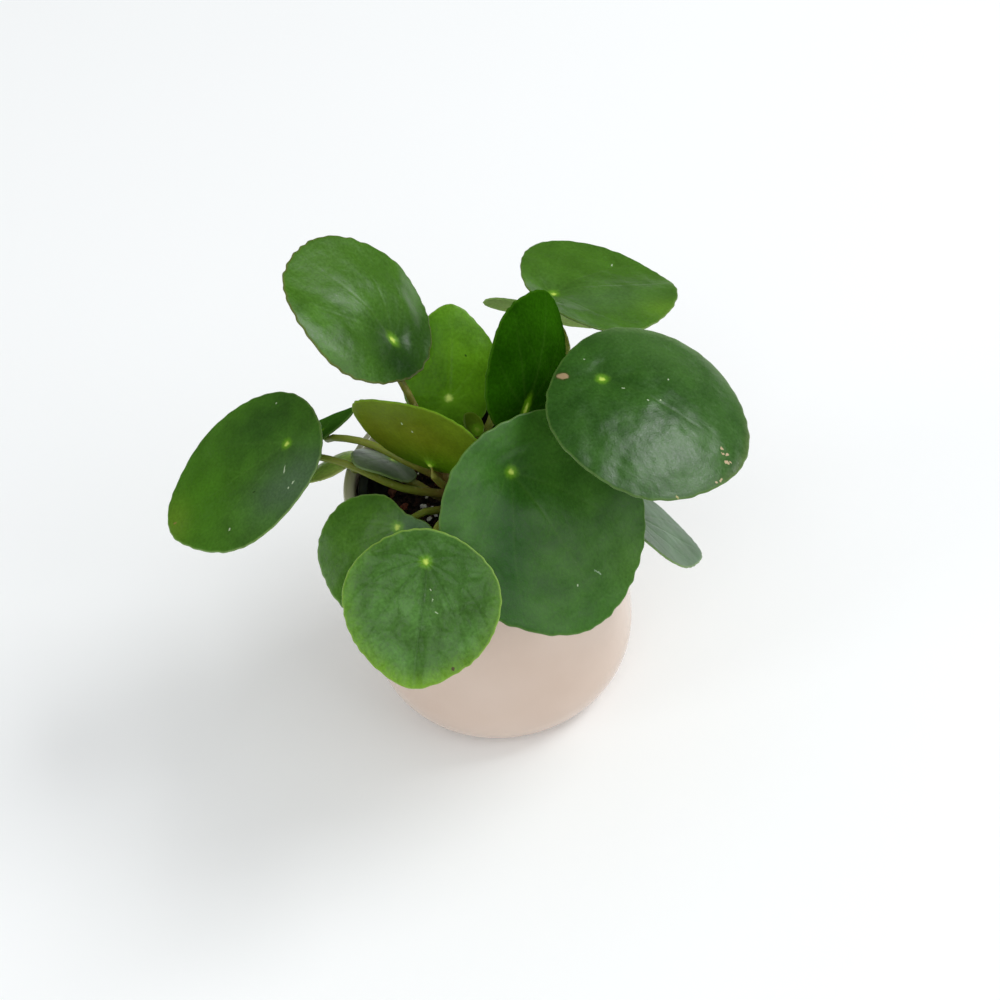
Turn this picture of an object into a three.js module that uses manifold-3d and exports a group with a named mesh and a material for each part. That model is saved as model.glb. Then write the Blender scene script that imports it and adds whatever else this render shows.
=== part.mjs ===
// Potted pilea: a small money plant in a black nursery pot, set in a glazed ceramic cover pot.
// Millimetres, +Z up. The origin is the centre of the ceramic pot's base, and -Y is the front.
import * as THREE from "three";
import { mergeVertices } from "three/addons/utils/BufferGeometryUtils.js";
import Module from "manifold-3d";

const wasm = await Module();
wasm.setup();

// Ceramic cover pot: rounded bottom, widest low down, slightly narrower at the rim
const POT_HEIGHT = 76;
const POT_FOOT_RADIUS = 26.5;
const POT_FOOT_HEIGHT = 1.6;
const POT_BELLY_RADIUS = 37;
const POT_BELLY_HEIGHT = 19;
const POT_RIM_RADIUS = 35;
const POT_WALL = 3;
const POT_FLOOR = 5;
const POT_SIDES = 48;
const POT_FOOT_BEVEL = 0.4;
const POT_GLAZE_STEP = 1.1;
const POT_TAPER_POWER = 1.6;
const POT_INNER_CORNER = 9;

// Black plastic nursery pot that stands inside it
const LINER_RIM_RADIUS = 31.4;
const LINER_RIM_WIDTH = 1.6;
const LINER_TOP = 73.5;
const LINER_BASE_RADIUS = 22;
const LINER_WALL = 1;
const LINER_LIP_HEIGHT = 3;
const LINER_LIP_BEVEL = 0.6;
const LINER_SIDES = 44;

// Potting soil, its surface a rough disc round the stem's hole
const SOIL_TOP = 62.5;
const SOIL_EDGE_DEPTH = 1;
const SOIL_CRUMB = { height: 0.9, first: [1.7, 2.3], second: [2.1, -1.3], shift: 0.8, fade: 6 };
const SOIL_WAVE = { height: 0.5, turns: [0.31, 0.27], shift: 1.2 };
const SOIL_MOUND = { height: 1.2, spread: 7.7 };
const SOIL_SIDES = LINER_SIDES;
const SOIL_RINGS = 8;

// Stem, off the middle of the pot
const STEM = { x: -6, y: 0, foot: 52, top: 80, radius: 3.1, sides: 12 };
const STEM_FOOT_BEVEL = { radius: 0.6, height: 2 };
const STEM_NARROWING = [{ below: 13.5, share: 1 }, { below: 8, share: 0.92 }, { below: 3, share: 0.8 }];
const STEM_TIP = { below: 0.8, share: 0.5 };
const SEAT_GAP = 0.3;

// Leaf blades and their stalks
const BLADE_THICKNESS = 0.8;
const BLADE_SPOKES = 30;
const BLADE_RINGS = [0.24, 0.52, 0.8, 1];
const MARGIN_WAVES = [{ count: 5, size: 0.012, shift: 1 }, { count: 11, size: 0.006, shift: 2 }];
const MARGIN_RIPPLE = { count: 3, size: 0.01 };
const POINT_SHARPNESS = 10;
const DIMPLE_REACH = 6;
const NOTCH_SPREAD = 0.25;
const STALK_SIDES = 6;
const STALK_STEP = 4;
const STALK_ROOT_RADIUS = 1.25;
const STALK_TIP_RADIUS = 0.9;
const STALK_NECK = 4;
const STALK_NECK_SHARE = 0.25;
const FULL_STALK_LENGTH = 14;
const STALK_GAP = 0.4;

// One entry a leaf. at: where the stalk meets the blade. faces: azimuth and elevation of the upper
// side. turn: the tip's angle from straight downhill. behind: blade behind the stalk point. taper: how
// much wider it is behind its middle than before it. dome: how far the margin falls below the middle.
// dimple: depth of the dip at the stalk. phase: shifts the margin's waves. root: azimuth and height on
// the stem. via: points that the stalk passes. neck: how far under the blade it turns square to it.
const LEAVES = [
  {
    name: "leaf_high_left", colour: "#4c6e28", at: [-15, 9, 116], faces: [-28, 50], turn: 175,
    length: 41.5, width: 40, behind: 10, point: 0, taper: 0.05, dome: 2.5, dimple: 2.5, phase: -2,
    root: [130, 77], via: [[-10.5, 2, 90], [-13.5, 2.5, 104]],
  },
  {
    name: "leaf_far_left", colour: "#385822", at: [-46, 4, 92], faces: [197, 63], turn: -9,
    length: 48.5, width: 44, behind: 10, point: 1, taper: 0.05, dome: 0.5, dimple: 0.5, phase: 1.2,
    root: [200, 69], via: [[-19.8, -3.8, 78.3], [-32.6, -0.2, 86.3]],
  },
  {
    name: "leaf_back_centre", colour: "#436a0e", at: [-4, 11.5, 92], faces: [-78, 40], turn: 161,
    length: 31, width: 25.5, behind: 8.5, point: 2.5, taper: -0.08, dome: 2, dimple: 0.5, phase: 1.4,
    root: [90, 74], via: [[-5.5, 9, 82]],
  },
  {
    name: "leaf_upright", colour: "#1d3e06", at: [14.5, -8.6, 102.8], faces: [-37, 17], turn: 124,
    length: 37, width: 31.5, behind: 7.5, point: 1, taper: 0.1, dome: 3, dimple: 0, phase: 2.4,
    root: [5, 76], via: [[2, -2.5, 84], [7.5, -4.5, 94]],
  },
  {
    name: "leaf_back_right", colour: "#4b662a", at: [26.7, 30, 104.9], faces: [26, 71], turn: -15,
    length: 40.5, width: 45, behind: 8, point: 0.5, taper: 0.14, dome: -1, dimple: 2.5, phase: 3.3,
    root: [30, 71], via: [[12.6, 4.5, 84], [23.4, 12, 92], [27.8, 17.5, 97]],
  },
  {
    name: "leaf_rear", colour: "#5d7440", at: [23.3, 38.2, 95.4], faces: [63, 40], turn: 0,
    length: 30, width: 34, behind: 8, point: 1, taper: 0.08, dome: 1, dimple: 0, phase: 0.2,
    root: [40, 77], via: [[4.3, 1.8, 88], [7.5, 5, 92.5], [15, 19, 94]],
  },
  {
    name: "leaf_high_right", colour: "#3c5c28", at: [33, -12.5, 112], faces: [-25, 68], turn: -8,
    length: 49.5, width: 52.5, behind: 11, point: 0, taper: 0.07, dome: 4.5, dimple: 1.5, phase: 1.2,
    root: [335, 70], via: [[12, -9, 85.5], [24, -7.5, 98]],
  },
  {
    name: "leaf_front_large", colour: "#365720", at: [8.4, -24.9, 98.6], faces: [-57, 40], turn: 4,
    length: 54, width: 55, behind: 11.5, point: 0, taper: 0.12, dome: 0.5, dimple: 2, phase: 3.1,
    root: [300, 71], via: [[0, -11, 83]],
  },
  {
    name: "leaf_front_round", colour: "#5b7542", at: [-14.3, -45, 94.2], faces: [-98, 48], turn: -9,
    length: 34, width: 37, behind: 6, point: 3, taper: 0, dome: -1, dimple: 0, phase: -1.8,
    root: [262, 68], via: [[-6.8, -13.3, 76], [-11, -27, 86]],
  },
  {
    name: "leaf_front_left", colour: "#486a25", at: [-21, -23, 84], faces: [-108, 47], turn: -30,
    length: 29.5, width: 32.5, behind: 5.5, point: 1.5, taper: 0, dome: 2, dimple: 0.5, phase: -0.5,
    notch: 2.5, root: [235, 66], via: [[-10.4, -8.9, 73], [-15.3, -15.2, 79.5]],
  },
  {
    name: "leaf_inner", colour: "#46580c", at: [-10.1, -7, 89], faces: [56, 12], turn: 176,
    length: 29, width: 37, behind: 4.5, point: 0, taper: -0.14, dome: 0, dimple: 0, phase: -0.5,
    neck: 2.3, root: [250, 71], via: [[-7.8, -6, 77.5], [-9.8, -8.5, 83.2]],
  },
  {
    name: "leaf_back_left", colour: "#2f4a1c", at: [-39, 14.8, 84.3], faces: [128, 52], turn: 0,
    length: 32, width: 28, behind: 8, point: 1, taper: 0.08, dome: 1, dimple: 0.5, phase: 2.6,
    neck: 2.3, root: [165, 73], via: [[-16.3, -1.5, 84], [-26.3, 4.3, 87.8], [-34.1, 8.6, 87.2]],
  },
  {
    name: "leaf_over_rim", colour: "#55703c", at: [-20.8, 3.8, 81], faces: [36, 50], turn: 184,
    length: 19, width: 17, behind: 6.3, point: 1, taper: 0.08, dome: 1.5, dimple: 0, phase: 0.1,
    root: [175, 67], via: [[-13, -1.2, 72.5], [-17.5, 0.8, 76]],
  },
  {
    name: "leaf_low_right", colour: "#778a6f", at: [37.5, -19.7, 71.6], faces: [12, 43], turn: -14,
    length: 27, width: 27.5, behind: 5, point: 1, taper: 0.08, dome: 0, dimple: 0.5, phase: 1.5,
    root: [325, 66],
    via: [[6, -8, 73], [22, -14.5, 79], [28.5, -17.3, 78.8], [31.3, -17.8, 76.5], [33, -18.9, 72.8]],
  },
  {
    name: "leaf_hanging", colour: "#4f7a1c", at: [-33.3, 7.4, 81.6], faces: [120, 62], turn: 90,
    length: 16, width: 14, behind: 4, point: 0.5, taper: 0.08, dome: 1, dimple: 0, phase: 2.2,
    root: [190, 66], via: [[-14, 1.5, 70.5], [-24, 5.5, 76.5]],
  },
  {
    name: "leaf_young", colour: "#5f7a1e", at: [1.9, -0.6, 91], faces: [-60, 50], turn: 180,
    length: 7, width: 5, behind: 2, point: 0, taper: 0, dome: 0, dimple: 0, phase: 0.5,
    root: [60, 78.5], via: [],
  },
];

function material(colour, roughness) {
  return new THREE.MeshStandardMaterial({ color: colour, roughness, metalness: 0 });
}

function namedMesh(name, geometry, colour, roughness) {
  const mesh = new THREE.Mesh(geometry, material(colour, roughness));
  mesh.name = name;
  return mesh;
}

// A closed body from a list of points and a list of corner triples
function bodyFrom(points, triangles) {
  const geometry = new THREE.BufferGeometry();
  const numbers = points.flatMap((p) => p.toArray());
  geometry.setAttribute("position", new THREE.Float32BufferAttribute(numbers, 3));
  geometry.setIndex(triangles.flat());
  return geometry;
}

// A turned body whose profile is a list of [radius, height] pairs that ends on the axis or on itself
function turned(profile, sides) {
  const geometry = new THREE.LatheGeometry(profile.map(([r, z]) => new THREE.Vector2(r, z)), sides);
  geometry.rotateX(Math.PI / 2);
  geometry.deleteAttribute("normal");
  geometry.deleteAttribute("uv");
  return mergeVertices(geometry, 1e-4);
}

function solid(geometry) {
  const vertProperties = new Float32Array(geometry.attributes.position.array);
  const triVerts = new Uint32Array(geometry.index.array);
  return new wasm.Manifold(new wasm.Mesh({ numProp: 3, vertProperties, triVerts }));
}

function fromSolid(manifold) {
  const { vertProperties, triVerts } = manifold.getMesh();
  const geometry = new THREE.BufferGeometry();
  geometry.setAttribute("position", new THREE.BufferAttribute(vertProperties, 3));
  geometry.setIndex(new THREE.BufferAttribute(triVerts, 1));
  return geometry;
}

// Quarter arc of [radius, height] pairs from one point of an ellipse to the next
function arc(centre, radii, from, to, steps) {
  return Array.from({ length: steps + 1 }, (_, i) => {
    const angle = THREE.MathUtils.degToRad(from + ((to - from) * i) / steps);
    return [centre[0] + radii[0] * Math.cos(angle), centre[1] + radii[1] * Math.sin(angle)];
  });
}

function ceramicPot() {
  const glazeRadius = POT_FOOT_RADIUS + POT_GLAZE_STEP;
  const bellyDrop = POT_BELLY_HEIGHT - POT_FOOT_HEIGHT;
  const bottom = arc(
    [glazeRadius, POT_BELLY_HEIGHT], [POT_BELLY_RADIUS - glazeRadius, bellyDrop], -90, 0, 6,
  );
  const wallAt = (share) => [
    POT_BELLY_RADIUS - (POT_BELLY_RADIUS - POT_RIM_RADIUS) * share ** POT_TAPER_POWER,
    POT_BELLY_HEIGHT + (POT_HEIGHT - POT_WALL / 2 - POT_BELLY_HEIGHT) * share,
  ];
  const outside = [0.25, 0.5, 0.75].map(wallAt);
  const rimRadius = POT_WALL / 2;
  const rim = arc([POT_RIM_RADIUS - rimRadius, POT_HEIGHT - rimRadius], [rimRadius, rimRadius], 0, 180, 4);
  const inside = [0.75, 0.4, 0].map((share) => [wallAt(share)[0] - POT_WALL, wallAt(share)[1]]);
  const innerRadius = POT_BELLY_RADIUS - POT_WALL;
  const hollow = arc(
    [innerRadius - POT_INNER_CORNER, POT_FLOOR + POT_INNER_CORNER],
    [POT_INNER_CORNER, POT_INNER_CORNER], 0, -90, 3,
  );
  return turned(
    [
      [0, 0], [POT_FOOT_RADIUS - POT_FOOT_BEVEL, 0], [POT_FOOT_RADIUS, POT_FOOT_BEVEL],
      [POT_FOOT_RADIUS, POT_FOOT_HEIGHT],
      ...bottom, ...outside, ...rim, ...inside, ...hollow, [0, POT_FLOOR],
    ],
    POT_SIDES,
  );
}

function linerRadius(height) {
  const base = POT_FLOOR + SEAT_GAP;
  const share = (height - base) / (LINER_TOP - base);
  return LINER_BASE_RADIUS + (LINER_RIM_RADIUS - LINER_RIM_WIDTH - LINER_BASE_RADIUS) * share;
}

function nurseryPot() {
  const base = POT_FLOOR + SEAT_GAP;
  const lip = LINER_TOP - LINER_LIP_HEIGHT;
  const edge = LINER_TOP - LINER_LIP_BEVEL;
  const inside = (height) => [linerRadius(height) - LINER_WALL, height];
  return turned(
    [
      [0, base], [LINER_BASE_RADIUS - LINER_WALL, base],
      [linerRadius(base + LINER_WALL), base + LINER_WALL],
      [linerRadius(lip), lip], [LINER_RIM_RADIUS, lip], [LINER_RIM_RADIUS, edge],
      [LINER_RIM_RADIUS - LINER_LIP_BEVEL, LINER_TOP], [inside(edge)[0] + LINER_LIP_BEVEL, LINER_TOP],
      inside(edge), inside(lip), inside(base + 1.5 * LINER_WALL),
      [LINER_BASE_RADIUS - 2 * LINER_WALL, base + LINER_WALL], [0, base + LINER_WALL],
    ],
    LINER_SIDES,
  );
}

// Height of the crumbly surface: long waves, short crumbs and a low mound round the stem
function soilHeight(x, y, share) {
  const { first, second } = SOIL_CRUMB;
  const waves = Math.sin(SOIL_WAVE.turns[0] * x + SOIL_WAVE.shift) * Math.cos(SOIL_WAVE.turns[1] * y);
  const crumbs = Math.sin(first[0] * x + first[1] * y)
    * Math.sin(second[0] * x + second[1] * y + SOIL_CRUMB.shift) * (1 - share ** SOIL_CRUMB.fade);
  const fromStem = Math.hypot(x - STEM.x, y - STEM.y) / SOIL_MOUND.spread;
  const mound = SOIL_MOUND.height * Math.exp(-(fromStem ** 2));
  return SOIL_TOP + SOIL_WAVE.height * waves + SOIL_CRUMB.height * crumbs + mound;
}

function soil() {
  const base = POT_FLOOR + 2 * SEAT_GAP + 2 * LINER_WALL;
  const wallAt = (height) => linerRadius(height) - LINER_WALL - SEAT_GAP;
  const points = [new THREE.Vector3(0, 0, soilHeight(0, 0, 0))];
  const triangles = [];
  for (let ring = 1; ring <= SOIL_RINGS; ring += 1) {
    const share = ring / SOIL_RINGS;
    for (let side = 0; side < SOIL_SIDES; side += 1) {
      const angle = (2 * Math.PI * side) / SOIL_SIDES;
      const radius = wallAt(SOIL_TOP - SOIL_EDGE_DEPTH) * share;
      const [x, y] = [radius * Math.cos(angle), radius * Math.sin(angle)];
      points.push(new THREE.Vector3(x, y, soilHeight(x, y, share)));
    }
  }
  for (let side = 0; side < SOIL_SIDES; side += 1) {
    const angle = (2 * Math.PI * side) / SOIL_SIDES;
    points.push(new THREE.Vector3(wallAt(base) * Math.cos(angle), wallAt(base) * Math.sin(angle), base));
  }
  points.push(new THREE.Vector3(0, 0, base));
  const bottomCentre = points.length - 1;
  for (let side = 0; side < SOIL_SIDES; side += 1) {
    const next = (side + 1) % SOIL_SIDES;
    triangles.push([0, 1 + side, 1 + next]);
    for (let ring = 0; ring < SOIL_RINGS; ring += 1) {
      const [inner, outer] = [1 + ring * SOIL_SIDES, 1 + (ring + 1) * SOIL_SIDES];
      triangles.push(
        [inner + side, outer + side, outer + next], [inner + side, outer + next, inner + next],
      );
    }
    const foot = 1 + SOIL_RINGS * SOIL_SIDES;
    triangles.push([bottomCentre, foot + next, foot + side]);
  }
  const [holeRadius, holeFoot] = [STEM.radius + SEAT_GAP, STEM.foot - SEAT_GAP];
  const hole = turned(
    [[0, holeFoot], [holeRadius, holeFoot], [holeRadius, STEM.top], [0, STEM.top]], STEM.sides,
  );
  hole.translate(STEM.x, STEM.y, 0);
  return fromSolid(solid(bodyFrom(points, triangles)).subtract(solid(hole)));
}

// The blade's own axes: its upper side's normal, the way its tip points, and across it
function bladeAxes({ faces, turn }) {
  const [azimuth, elevation] = faces.map(THREE.MathUtils.degToRad);
  const heading = new THREE.Vector3(Math.cos(azimuth), Math.sin(azimuth), 0);
  const up = new THREE.Vector3(0, 0, 1);
  const [level, rise] = [Math.cos(elevation), Math.sin(elevation)];
  const normal = heading.clone().multiplyScalar(level).addScaledVector(up, rise);
  const tip = heading.clone().multiplyScalar(rise).addScaledVector(up, -level);
  tip.applyAxisAngle(normal, THREE.MathUtils.degToRad(turn));
  return { normal, tip, across: new THREE.Vector3().crossVectors(normal, tip) };
}

// A point of the blade in its own axes, by angle from the tip and share of the way to the margin
function bladePoint(leaf, angle, share) {
  const { length, width, behind, point, taper, dome, dimple, phase, notch = 0 } = leaf;
  const [cos, sin] = [Math.cos(angle), Math.sin(angle)];
  const fromBase = Math.atan2(Math.sin(angle - Math.PI), Math.cos(angle - Math.PI));
  const wave = MARGIN_WAVES.reduce(
    (sum, { count, size, shift }) => sum + size * Math.sin(count * angle + shift * phase), 1,
  );
  const middle = length / 2 - behind - point / 2;
  const along = middle + (length / 2) * cos * wave + point * Math.max(0, cos) ** POINT_SHARPNESS
    + notch * Math.exp(-((fromBase / NOTCH_SPREAD) ** 2));
  const aside = (width / 2) * sin * wave * (1 - taper * cos);
  const [u, v] = [along * share, aside * share];
  const fall = (x, y) => dome * (((x - middle) / (length / 2)) ** 2 + (y / (width / 2)) ** 2);
  const dip = dimple * (1 - Math.exp(-(u * u + v * v) / DIMPLE_REACH ** 2));
  const ripple = MARGIN_RIPPLE.size * length * share ** 3 * Math.sin(MARGIN_RIPPLE.count * angle + phase);
  return [u, v, fall(0, 0) - fall(u, v) + dip + ripple];
}

function leafBlade(leaf) {
  const { normal, tip, across } = bladeAxes(leaf);
  const at = new THREE.Vector3(...leaf.at);
  const place = ([u, v, height]) => at.clone()
    .addScaledVector(tip, u).addScaledVector(across, v).addScaledVector(normal, height);
  const upper = [at.clone()];
  for (const share of BLADE_RINGS) {
    for (let spoke = 0; spoke < BLADE_SPOKES; spoke += 1) {
      upper.push(place(bladePoint(leaf, (2 * Math.PI * spoke) / BLADE_SPOKES, share)));
    }
  }
  const lower = upper.map((p) => p.clone().addScaledVector(normal, -BLADE_THICKNESS));
  const count = upper.length;
  const triangles = [];
  for (let spoke = 0; spoke < BLADE_SPOKES; spoke += 1) {
    const next = (spoke + 1) % BLADE_SPOKES;
    const face = [[0, 1 + spoke, 1 + next]];
    for (let ring = 1; ring < BLADE_RINGS.length; ring += 1) {
      const [inner, outer] = [1 + (ring - 1) * BLADE_SPOKES, 1 + ring * BLADE_SPOKES];
      face.push(
        [inner + spoke, outer + spoke, outer + next], [inner + spoke, outer + next, inner + next],
      );
    }
    const margin = 1 + (BLADE_RINGS.length - 1) * BLADE_SPOKES;
    triangles.push(
      ...face,
      ...face.map(([a, b, c]) => [count + a, count + c, count + b]),
      [margin + spoke, count + margin + spoke, count + margin + next],
      [margin + spoke, count + margin + next, margin + next],
    );
  }
  return bodyFrom([...upper, ...lower], triangles);
}

// The stalk's route: from inside the stem, through its own points, to a neck square under the blade
function stalkRoute(leaf) {
  const [azimuth, height] = [THREE.MathUtils.degToRad(leaf.root[0]), leaf.root[1]];
  const root = new THREE.Vector3(STEM.x + Math.cos(azimuth), STEM.y + Math.sin(azimuth), height);
  const { normal } = bladeAxes(leaf);
  const at = new THREE.Vector3(...leaf.at);
  const end = at.clone().addScaledVector(normal, -BLADE_THICKNESS - STALK_GAP);
  const neckReach = Math.min(leaf.neck ?? STALK_NECK, STALK_NECK_SHARE * leaf.length);
  const neck = at.clone().addScaledVector(normal, -neckReach);
  const via = leaf.via.map((p) => new THREE.Vector3(...p));
  return { curve: new THREE.CatmullRomCurve3([root, ...via, neck, end]), normal };
}

function stalk(leaf) {
  const { curve, normal } = stalkRoute(leaf);
  const steps = Math.max(4, Math.round(curve.getLength() / STALK_STEP));
  const size = Math.min(1, leaf.length / FULL_STALK_LENGTH);
  const points = [];
  const triangles = [];
  let across = new THREE.Vector3(0, 0, 1);
  for (let step = 0; step <= steps; step += 1) {
    const share = step / steps;
    const centre = curve.getPointAt(share);
    const facing = step === steps ? normal : curve.getTangentAt(share);
    across = across.clone().addScaledVector(facing, -across.dot(facing)).normalize();
    const other = new THREE.Vector3().crossVectors(facing, across);
    const radius = size * THREE.MathUtils.lerp(STALK_ROOT_RADIUS, STALK_TIP_RADIUS, share);
    for (let side = 0; side < STALK_SIDES; side += 1) {
      const angle = (2 * Math.PI * side) / STALK_SIDES;
      points.push(
        centre.clone()
          .addScaledVector(across, radius * Math.cos(angle))
          .addScaledVector(other, radius * Math.sin(angle)),
      );
    }
  }
  points.push(curve.getPointAt(0), curve.getPointAt(1));
  const [rootCentre, endCentre] = [points.length - 2, points.length - 1];
  const last = steps * STALK_SIDES;
  for (let side = 0; side < STALK_SIDES; side += 1) {
    const next = (side + 1) % STALK_SIDES;
    triangles.push([rootCentre, next, side], [endCentre, last + side, last + next]);
    for (let step = 0; step < steps; step += 1) {
      const [near, far] = [step * STALK_SIDES, (step + 1) * STALK_SIDES];
      triangles.push([near + side, near + next, far + next], [near + side, far + next, far + side]);
    }
  }
  return bodyFrom(points, triangles);
}

function stem() {
  const { foot, top, radius, sides } = STEM;
  const geometry = turned(
    [
      [0, foot], [radius - STEM_FOOT_BEVEL.radius, foot], [radius, foot + STEM_FOOT_BEVEL.height],
      ...[...STEM_NARROWING, STEM_TIP].map(({ below, share }) => [radius * share, top - below]), [0, top],
    ],
    sides,
  );
  geometry.translate(STEM.x, STEM.y, 0);
  return geometry;
}

function stemAndStalks() {
  const joined = LEAVES.reduce((whole, leaf) => whole.add(solid(stalk(leaf))), solid(stem()));
  return fromSolid(joined);
}

const plant = new THREE.Group();
plant.add(namedMesh("ceramic_pot", ceramicPot(), "#c9b8aa", 0.2));
plant.add(namedMesh("nursery_pot", nurseryPot(), "#15171a", 0.5));
plant.add(namedMesh("soil", soil(), "#1e1512", 0.95));
plant.add(namedMesh("stem_and_stalks", stemAndStalks(), "#6f7a2c", 0.55));
for (const leaf of LEAVES) {
  plant.add(namedMesh(leaf.name, leafBlade(leaf), leaf.colour, 0.35));
}

export default plant;
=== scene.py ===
import math

import bmesh
import bpy
import numpy as np
from mathutils import Matrix, Vector, noise
from mathutils.bvhtree import BVHTree


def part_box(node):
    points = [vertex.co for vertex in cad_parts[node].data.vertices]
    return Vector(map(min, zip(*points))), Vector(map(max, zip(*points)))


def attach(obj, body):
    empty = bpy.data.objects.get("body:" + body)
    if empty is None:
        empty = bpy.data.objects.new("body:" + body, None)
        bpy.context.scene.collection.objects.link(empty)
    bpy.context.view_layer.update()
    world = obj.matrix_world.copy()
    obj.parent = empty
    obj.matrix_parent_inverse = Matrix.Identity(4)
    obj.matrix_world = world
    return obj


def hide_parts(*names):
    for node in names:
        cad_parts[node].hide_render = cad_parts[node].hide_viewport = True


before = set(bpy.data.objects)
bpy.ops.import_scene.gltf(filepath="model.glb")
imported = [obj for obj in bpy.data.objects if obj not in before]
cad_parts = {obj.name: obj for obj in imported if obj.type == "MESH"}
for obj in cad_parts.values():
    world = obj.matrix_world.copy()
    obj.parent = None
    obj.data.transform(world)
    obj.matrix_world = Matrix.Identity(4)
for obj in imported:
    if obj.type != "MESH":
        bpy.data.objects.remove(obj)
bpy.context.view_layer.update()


# Ceramic cover pot. One slip-cast stoneware body, dipped in a glossy pinkish white glaze and fired
# standing on its bare foot, so the glaze ends in a rounded edge just above it. It stands on the
# table, and the nursery pot stands in it.
MM = 0.001
POT_FOOT_RADIUS = 26.5
POT_FOOT_BEVEL = 0.4
GLAZE_EDGE_HEIGHT = 1.5
GLAZE_EDGE_RADIUS = 27.6
POT_BELLY_HEIGHT = 19
POT_RIM_RADIUS = 35
POT_TAPER_POWER = 1.6
POT_WALL = 3
POT_FLOOR = 5
POT_INNER_CORNER = 9
POT_SIDES = 224
POT_WALL_STEPS = 30
POT_BELLY_STEPS = 24
POT_RIM_STEPS = 14
POT_CORNER_STEPS = 8
# Rounded edge of the glaze: how far it stands out of the foot, and its height under the edge's top
GLAZE_ROLL = [(0, 0.2), (0.15, 0.06), (0.5, 0)]
# Heights between which a painted green reflection of the leaves spreads over the glaze, under the rim's
# top
RIM_REFLECTION_HEIGHTS = (72.8, 75.4)
CAST_WOBBLE = {"depth": 0.09, "from": 3, "full_after": 20}


def linear(code):
    """A colour written as sRGB hex, as the linear RGBA that a shader socket takes."""
    shares = [int(code[i:i + 2], 16) / 255 for i in (1, 3, 5)]
    return (*[s / 12.92 if s <= 0.04045 else ((s + 0.055) / 1.055) ** 2.4 for s in shares], 1)


def add_node(tree, kind, settings=None, links=None):
    """A node in the tree. Settings are properties or sockets, and links name the socket they enter."""
    node = tree.nodes.new(kind)
    for key, value in (settings or {}).items():
        if isinstance(key, int) or key in node.inputs:
            node.inputs[key].default_value = value
        else:
            setattr(node, key, value)
    for key, output in (links or {}).items():
        tree.links.new(output, node.inputs[key])
    return node


def new_finish(name):
    """A material, its node tree and its surface shader."""
    material = bpy.data.materials.new(name)
    material.use_nodes = True
    return material, material.node_tree, material.node_tree.nodes["Principled BSDF"]


def new_piece(name, points, faces, *materials):
    """A smooth-shaded mesh object from points in millimetres."""
    mesh = bpy.data.meshes.new(name)
    mesh.from_pydata((np.asarray(points, float) * MM).tolist(), [], faces)
    mesh.shade_smooth()
    for material in materials:
        mesh.materials.append(material)
    piece = bpy.data.objects.new(name, mesh)
    bpy.context.scene.collection.objects.link(piece)
    return piece


def arc(centre, radii, start, end, steps):
    """Points of [radius, height] along an ellipse, from one angle in degrees to the other."""
    turns = np.radians(np.linspace(start, end, steps + 1))
    return np.column_stack([centre[0] + radii[0] * np.cos(turns), centre[1] + radii[1] * np.sin(turns)])


def turned_body(profile, sides):
    """Points and faces of a body turned from a profile that starts and ends on the axis."""
    turns = np.linspace(0, 2 * np.pi, sides, endpoint=False)
    rings = profile[1:-1]
    points = [[0, 0, profile[0][1]], [0, 0, profile[-1][1]]]
    for radius, height in rings:
        points += np.column_stack(
            [radius * np.cos(turns), radius * np.sin(turns), np.full(sides, height)]
        ).tolist()
    faces = []
    last = 2 + (len(rings) - 1) * sides
    for side in range(sides):
        after = (side + 1) % sides
        faces.append((0, 2 + after, 2 + side))
        faces.append((1, last + side, last + after))
        for ring in range(len(rings) - 1):
            low, high = 2 + ring * sides, 2 + (ring + 1) * sides
            faces.append((low + side, low + after, high + after, high + side))
    return np.array(points), faces


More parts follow.
